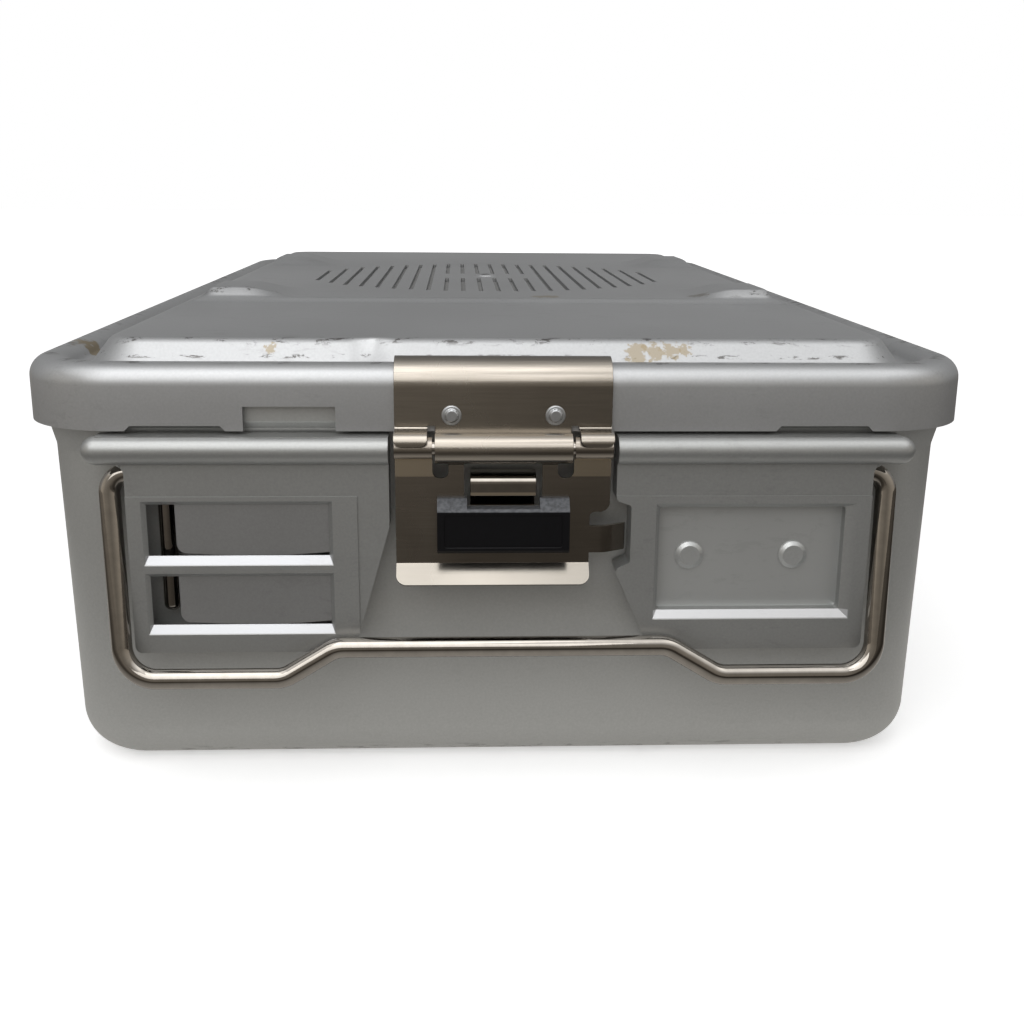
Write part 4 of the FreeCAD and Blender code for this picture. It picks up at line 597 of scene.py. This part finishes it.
lid_stains = [((0.0400, -0.2222, 0.1272), 0.0042, TAN, 0.7),
              ((0.0450, -0.2222, 0.1278), 0.0042, TAN, 0.7),
              ((0.0500, -0.2222, 0.1284), 0.0036, TAN, 0.7),
              ((0.0540, -0.2222, 0.1288), 0.0030, TAN, 0.7),
              ((0.0210, -0.1030, 0.1325), 0.0060, TAN, 0.6),
              ((-0.1280, -0.1880, 0.1220), 0.0080, TAN, 0.9),
              ((-0.0674, -0.2215, 0.1284), 0.0024, TAN, 0.7),
              ((0.0800, -0.1020, 0.1330), 0.0050, BROWN, 0.6)]
lid_wear = [[("Z", [(0.1252, 0), (0.1256, 1), (0.1262, 1), (0.1266, 0)])],
            [("Z", [(0.1285, 0), (0.1300, 1), (0.1312, 1), (0.1318, 0)]),
             ("Y", [(0.2165, 0), (0.2180, 1), (0.2200, 1), (0.2215, 0)])],
            [("Z", [(0.1328, 0), (0.1340, 1), (0.1356, 1), (0.1362, 0)]),
             ("Y", [(0.0980, 0), (0.1030, 1), (0.1080, 1), (0.1100, 0)])]]
lid_skin = satin_aluminium("lid satin aluminium", LID_GRAY, roughness=0.42, metallic=0.75, wear=0.1,
                           scuffed=lid_wear, stains=lid_stains)
lid.data.materials.append(lid_skin)
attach(lid, "lid")
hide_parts("lid_shell")


# Filter set and gasket, under the lid. A moulded silicone ring in the rim; a
# round paper filter, its perforated retainer, a dished spring washer and a
# quarter-turn knob on the stud through the lid's middle.
def moulded(name, colour, roughness, bump_scale, gloss=0.5, dust_and_sheen=None):
    """Moulded plastic, rubber or paper, with a fine uneven surface.

    A band in Z, given by its stops, can be speckled with gray: dust, and a painted sheen where an edge
    faces the light.
    """
    dust_and_sheen_gray, dust_and_sheen_strength = (0.13, 0.135, 0.145), 0.9
    material, tree, shader, add = node_tree(name)
    place = add("ShaderNodeTexCoord").outputs["Object"]
    skin = add("ShaderNodeTexNoise", Scale=bump_scale, Detail=5.0)
    tree.links.new(place, skin.inputs["Vector"])
    tone = ramp(tree, skin.outputs["Fac"], [
        (0.3, tuple(c * 0.85 for c in colour) + (1,)), (0.7, tuple(colour) + (1,))])
    surface = tone.outputs["Color"]
    if dust_and_sheen:
        speckle = ramp(tree, skin.outputs["Fac"], [(0.38, gray(0.55)), (0.62, gray(1))])
        mask = scale_by(tree, speckle.outputs["Color"], along(tree, place, "Z", dust_and_sheen))
        surface = tint(tree, surface, mask, dust_and_sheen_gray, dust_and_sheen_strength)
    tree.links.new(surface, shader.inputs["Base Color"])
    shader.inputs["Roughness"].default_value = roughness
    shader.inputs["Specular IOR Level"].default_value = gloss
    bump = add("ShaderNodeBump", Strength=0.3, Distance=0.00006)
    tree.links.new(skin.outputs["Fac"], bump.inputs["Height"])
    tree.links.new(bump.outputs["Normal"], shader.inputs["Normal"])
    return material


silicone = moulded("gray silicone", (0.16, 0.17, 0.18), roughness=0.55, bump_scale=700.0)
# Painted shade: the paper is toned dark gray instead of white, so the slits above it read as shaded.
filter_paper = moulded("filter paper", (0.26, 0.26, 0.255), roughness=0.85, bump_scale=1500.0)
# The stud's middle is painted near-black in a round patch, given through the stains list.
dark_middle = ((0.0, 0.0, 0.1333), 0.0030, (0.02, 0.02, 0.02), 0.95)
stud_skin = satin_aluminium("stud satin steel", LID_GRAY, roughness=0.42, metallic=0.75, wear=0.1,
                            stains=[dark_middle])
knob_plastic = moulded("gray plastic", (0.20, 0.21, 0.23), roughness=0.42, bump_scale=600.0)
finish_piece("lid_gasket", "lid", "silicone", silicone, rounding=0.0004)
finish_piece("filter_paper", "lid", "paper", filter_paper)
finish_piece("filter_retainer", "lid", "lid_aluminium", lid_skin, rounding=0.0002)
finish_piece("spring_washer", "lid", "brushed_stainless", brushed)
finish_piece("filter_stud", "lid", "polished_stainless", stud_skin)
finish_piece("retainer_knob", "knob", "gray_plastic", knob_plastic, rounding=0.0008)


# Latches. A stainless bracket folded over the rim and riveted to the skirt
# carries a flap on a hinge pin; the flap's window drops over the catch hook.
# A black moulded block on the flap has a sunk panel, left bare.
# Painted highlight: the flap's rolled ends are toned much lighter and tan, as if their faces caught a
# brighter sky.
rolled_end_highlights = [("X", [(0.0170, 0), (0.0175, 1), (0.0320, 1)]),
               ("Z", [(0.0941, 0), (0.0943, 1), (0.1000, 1), (0.1004, 0)])]
# Painted shade: the flap's lower lip is toned a little darker, to tone down its bright reflection of
# the lamps.
lip_shade = [("Z", [(0.0600, 1), (0.0680, 1), (0.0686, 0)])]
flap_steel = stainless("flap stainless", (0.30, 0.27, 0.235), **BRUSH,
                       toned=[(rolled_end_highlights, (0.66, 0.58, 0.46)), (lip_shade, (0.225, 0.21, 0.185))])
# The block's top bevel is speckled gray: dust, and a painted sheen where the bevel faces the light.
block_top = [(0.0847, 0), (0.0850, 1), (0.0880, 1), (0.0884, 0.4)]
black = moulded("black plastic", (0.004, 0.004, 0.005), roughness=0.36, bump_scale=900.0,
                gloss=0.2, dust_and_sheen=block_top)
for end in ENDS:
    finish_piece("latch_bracket_" + end, "lid", "brushed_stainless", brushed, rounding=0.0003)
    finish_piece("bracket_rivets_" + end, "lid", "rivet_aluminium", rivet_skin, rounding=0.0003)
    finish_piece("latch_pin_" + end, "lid", "polished_stainless", polished, rounding=0.0003)
    finish_piece("latch_flap_" + end, "latch_" + end, "brushed_stainless", flap_steel, rounding=0.0003)
    finish_piece("lock_block_" + end, "latch_" + end, "black_plastic", black, rounding=0.0004)


# Stage, light and camera. The camera sees a white surround and a pale floor
# with the object's shadow. Metal mirrors a graded sky and a darker floor in their
# place, toned like a room with a window. Two large soft lamps light it.
def pale_stage():
    """Floor that the camera sees pale, with the object's shadow.

    To the camera it glows more with the distance from the object, so that it
    runs into the white surround. Reflections show plain tones in its place:
    pale close to the object, dark round that, lighter again far off, and
    all of it lighter at the left.
    """
    close, around, far_off = (0.6, 0.58, 0.55), (0.085, 0.076, 0.065, 1), (0.22, 0.2, 0.175, 1)
    mesh = bpy.data.meshes.new("floor")
    mesh.from_pydata([(-6, -6, -0.0004), (6, -6, -0.0004), (6, 6, -0.0004), (-6, 6, -0.0004)],
                     [], [(0, 1, 2, 3)])
    floor = bpy.data.objects.new("floor", mesh)
    bpy.context.collection.objects.link(floor)
    material, tree, shader, add = node_tree("pale floor")
    shader.inputs["Base Color"].default_value = (0.92, 0.92, 0.92, 1)
    shader.inputs["Roughness"].default_value = 0.9
    away = add("ShaderNodeVectorMath")
    away.operation = "LENGTH"
    tree.links.new(add("ShaderNodeTexCoord").outputs["Object"], away.inputs[0])
    rise = add("ShaderNodeMapRange")
    rise.inputs["From Min"].default_value, rise.inputs["From Max"].default_value = 0.4, 3.0
    rise.inputs["To Min"].default_value, rise.inputs["To Max"].default_value = 0.42, 0.80
    tree.links.new(away.outputs["Value"], rise.inputs["Value"])
    lift = add("ShaderNodeEmission")
    tree.links.new(rise.outputs["Result"], lift.inputs["Strength"])
    both = add("ShaderNodeAddShader")
    tree.links.new(shader.outputs[0], both.inputs[0])
    tree.links.new(lift.outputs[0], both.inputs[1])
    pick = add("ShaderNodeMixShader")
    tree.links.new(add("ShaderNodeLightPath").outputs["Is Camera Ray"], pick.inputs["Fac"])
    tree.links.new(shader.outputs[0], pick.inputs[1])
    tree.links.new(both.outputs[0], pick.inputs[2])
    close_share = ramp(tree, away.outputs["Value"], [(0.27, gray(1)), (0.38, gray(0))])
    far = ramp(tree, away.outputs["Value"], [(0.45, around), (0.85, far_off)])
    parts = add("ShaderNodeSeparateXYZ")
    tree.links.new(add("ShaderNodeTexCoord").outputs["Object"], parts.inputs[0])
    side = add("ShaderNodeMapRange")
    side.inputs["From Min"].default_value, side.inputs["From Max"].default_value = -0.15, 0.15
    side.inputs["To Min"].default_value, side.inputs["To Max"].default_value = 1.35, 0.65
    tree.links.new(parts.outputs["X"], side.inputs["Value"])
    shade = scale_by(tree, far.outputs["Color"], side.outputs["Result"])
    mirrored = add("ShaderNodeEmission")
    tone = tint(tree, shade, close_share.outputs["Color"], close, 1.0)
    tree.links.new(tone, mirrored.inputs["Color"])
    choose = add("ShaderNodeMixShader")
    tree.links.new(add("ShaderNodeLightPath").outputs["Is Glossy Ray"], choose.inputs["Fac"])
    tree.links.new(pick.outputs[0], choose.inputs[1])
    tree.links.new(mirrored.outputs[0], choose.inputs[2])
    tree.links.new(choose.outputs[0], tree.nodes["Material Output"].inputs["Surface"])
    floor.data.materials.append(material)


pale_stage()
DIFFUSE_STRENGTH = 0.56
world = bpy.data.worlds.new("studio")
bpy.context.scene.world = world
world.use_nodes = True
tree = world.node_tree


def studio_node(kind, **values):
    """A node of the surround, with its settings."""
    node = tree.nodes.new(kind)
    for name, value in values.items():
        setattr(node, name, value)
    return node


# The sky that metal mirrors: a tone by height, brighter in front than behind the
# object, and brighter at both sides than in the middle.
parts = studio_node("ShaderNodeSeparateXYZ")
tree.links.new(studio_node("ShaderNodeTexCoord").outputs["Generated"], parts.inputs[0])
front_sky = ramp(tree, parts.outputs["Z"], [
    (0.0, (0.30, 0.275, 0.24, 1)), (0.48, (0.38, 0.36, 0.33, 1)), (0.70, gray(1.0)),
    (0.87, gray(2.0)), (1.0, gray(1.6))])
back_sky = ramp(tree, parts.outputs["Z"], [
    (0.0, gray(0.17)), (0.50, gray(0.24)), (0.85, gray(0.36)), (1.0, gray(0.9))])
facing = studio_node("ShaderNodeMapRange", interpolation_type="SMOOTHSTEP")
facing.inputs["From Min"].default_value, facing.inputs["From Max"].default_value = -0.12, 0.25
tree.links.new(parts.outputs["Y"], facing.inputs["Value"])
sky = studio_node("ShaderNodeMix", data_type="RGBA")
tree.links.new(facing.outputs["Result"], sky.inputs["Factor"])
tree.links.new(front_sky.outputs["Color"], sky.inputs["A"])
tree.links.new(back_sky.outputs["Color"], sky.inputs["B"])
turn = studio_node("ShaderNodeMapRange")
turn.inputs["From Min"].default_value, turn.inputs["From Max"].default_value = -1.0, 1.0
tree.links.new(parts.outputs["X"], turn.inputs["Value"])
across = ramp(tree, turn.outputs["Result"], [
    (0.0, gray(2.4)), (0.16, gray(1.4)), (0.50, gray(1.0)), (0.66, gray(1.2)), (1.0, gray(2.1))])
mirrored_sky = scale_by(tree, sky.outputs["Result"], across.outputs["Color"])
# All other rays see white: at full strength the camera's and those through clear
# pieces, and weaker those that light dull surfaces.
ray = studio_node("ShaderNodeLightPath")
clear = studio_node("ShaderNodeMath", operation="MAXIMUM")
tree.links.new(ray.outputs["Is Camera Ray"], clear.inputs[0])
tree.links.new(ray.outputs["Is Transmission Ray"], clear.inputs[1])
not_mirrored = studio_node("ShaderNodeMath", operation="SUBTRACT")
not_mirrored.inputs[0].default_value = 1.0
tree.links.new(ray.outputs["Is Glossy Ray"], not_mirrored.inputs[1])
surround = tint(tree, mirrored_sky, not_mirrored.outputs[0], (1.0, 1.0, 1.0), 1.0)
strength = studio_node("ShaderNodeMath", operation="MAXIMUM")
tree.links.new(clear.outputs[0], strength.inputs[0])
tree.links.new(ray.outputs["Is Glossy Ray"], strength.inputs[1])
level = studio_node("ShaderNodeMapRange")
level.inputs["To Min"].default_value, level.inputs["To Max"].default_value = DIFFUSE_STRENGTH, 1.0
tree.links.new(strength.outputs[0], level.inputs["Value"])
backdrop = tree.nodes["Background"]
tree.links.new(surround, backdrop.inputs["Color"])
tree.links.new(level.outputs["Result"], backdrop.inputs["Strength"])


def turned_to(right, up, back, place):
    """Matrix of an object at a place, from the directions of its own axes."""
    rows = [[*row, p] for row, p in zip(np.array([right, up, back]).T, place)]
    return Matrix(rows + [[0, 0, 0, 1]])


def soft_lamp(name, place, target, size, power):
    """A rectangular lamp at a place, facing a target."""
    lamp = bpy.data.lights.new(name, "AREA")
    lamp.shape = "RECTANGLE"
    lamp.size, lamp.size_y = size
    lamp.energy = power
    holder = bpy.data.objects.new(name, lamp)
    bpy.context.collection.objects.link(holder)
    place, target = np.array(place, float), np.array(target, float)
    back = (place - target) / np.linalg.norm(place - target)
    right = np.cross([0, 0, 1], back)
    right = right / np.linalg.norm(right)
    up = np.cross(back, right)
    holder.matrix_world = turned_to(right, up, back, place)


soft_lamp("front window", (-0.45, -1.5, 1.05), (0, -0.15, 0.1), size=(1.5, 0.9), power=9)
soft_lamp("skylight", (-0.25, -0.78, 1.48), (0, -0.2, 0.13), size=(0.8, 0.8), power=3.8)

# The camera is the one that was fitted to the photograph.
SENSOR, PICTURE_PIXELS, FOCAL_PIXELS = 36.0, 1024.0, 1244.0
EYE = (-0.0127, -0.5858, RIM + 0.0504)
camera = bpy.data.cameras.new("camera")
camera.sensor_width = SENSOR
camera.lens = SENSOR * FOCAL_PIXELS / PICTURE_PIXELS
camera.clip_start = 0.01
eye = bpy.data.objects.new("camera", camera)
bpy.context.collection.objects.link(eye)
yaw, pitch, roll = np.radians([2.53, 15.02, 0.50])
forward = np.array([np.sin(yaw) * np.cos(pitch), np.cos(yaw) * np.cos(pitch), -np.sin(pitch)])
right = np.array([np.cos(yaw), -np.sin(yaw), 0.0])
up = np.cross(right, forward)
right, up = right * np.cos(roll) + up * np.sin(roll), up * np.cos(roll) - right * np.sin(roll)
eye.matrix_world = turned_to(right, up, -forward, EYE)
bpy.context.scene.camera = eye
bpy.context.scene.view_settings.view_transform = "Standard"
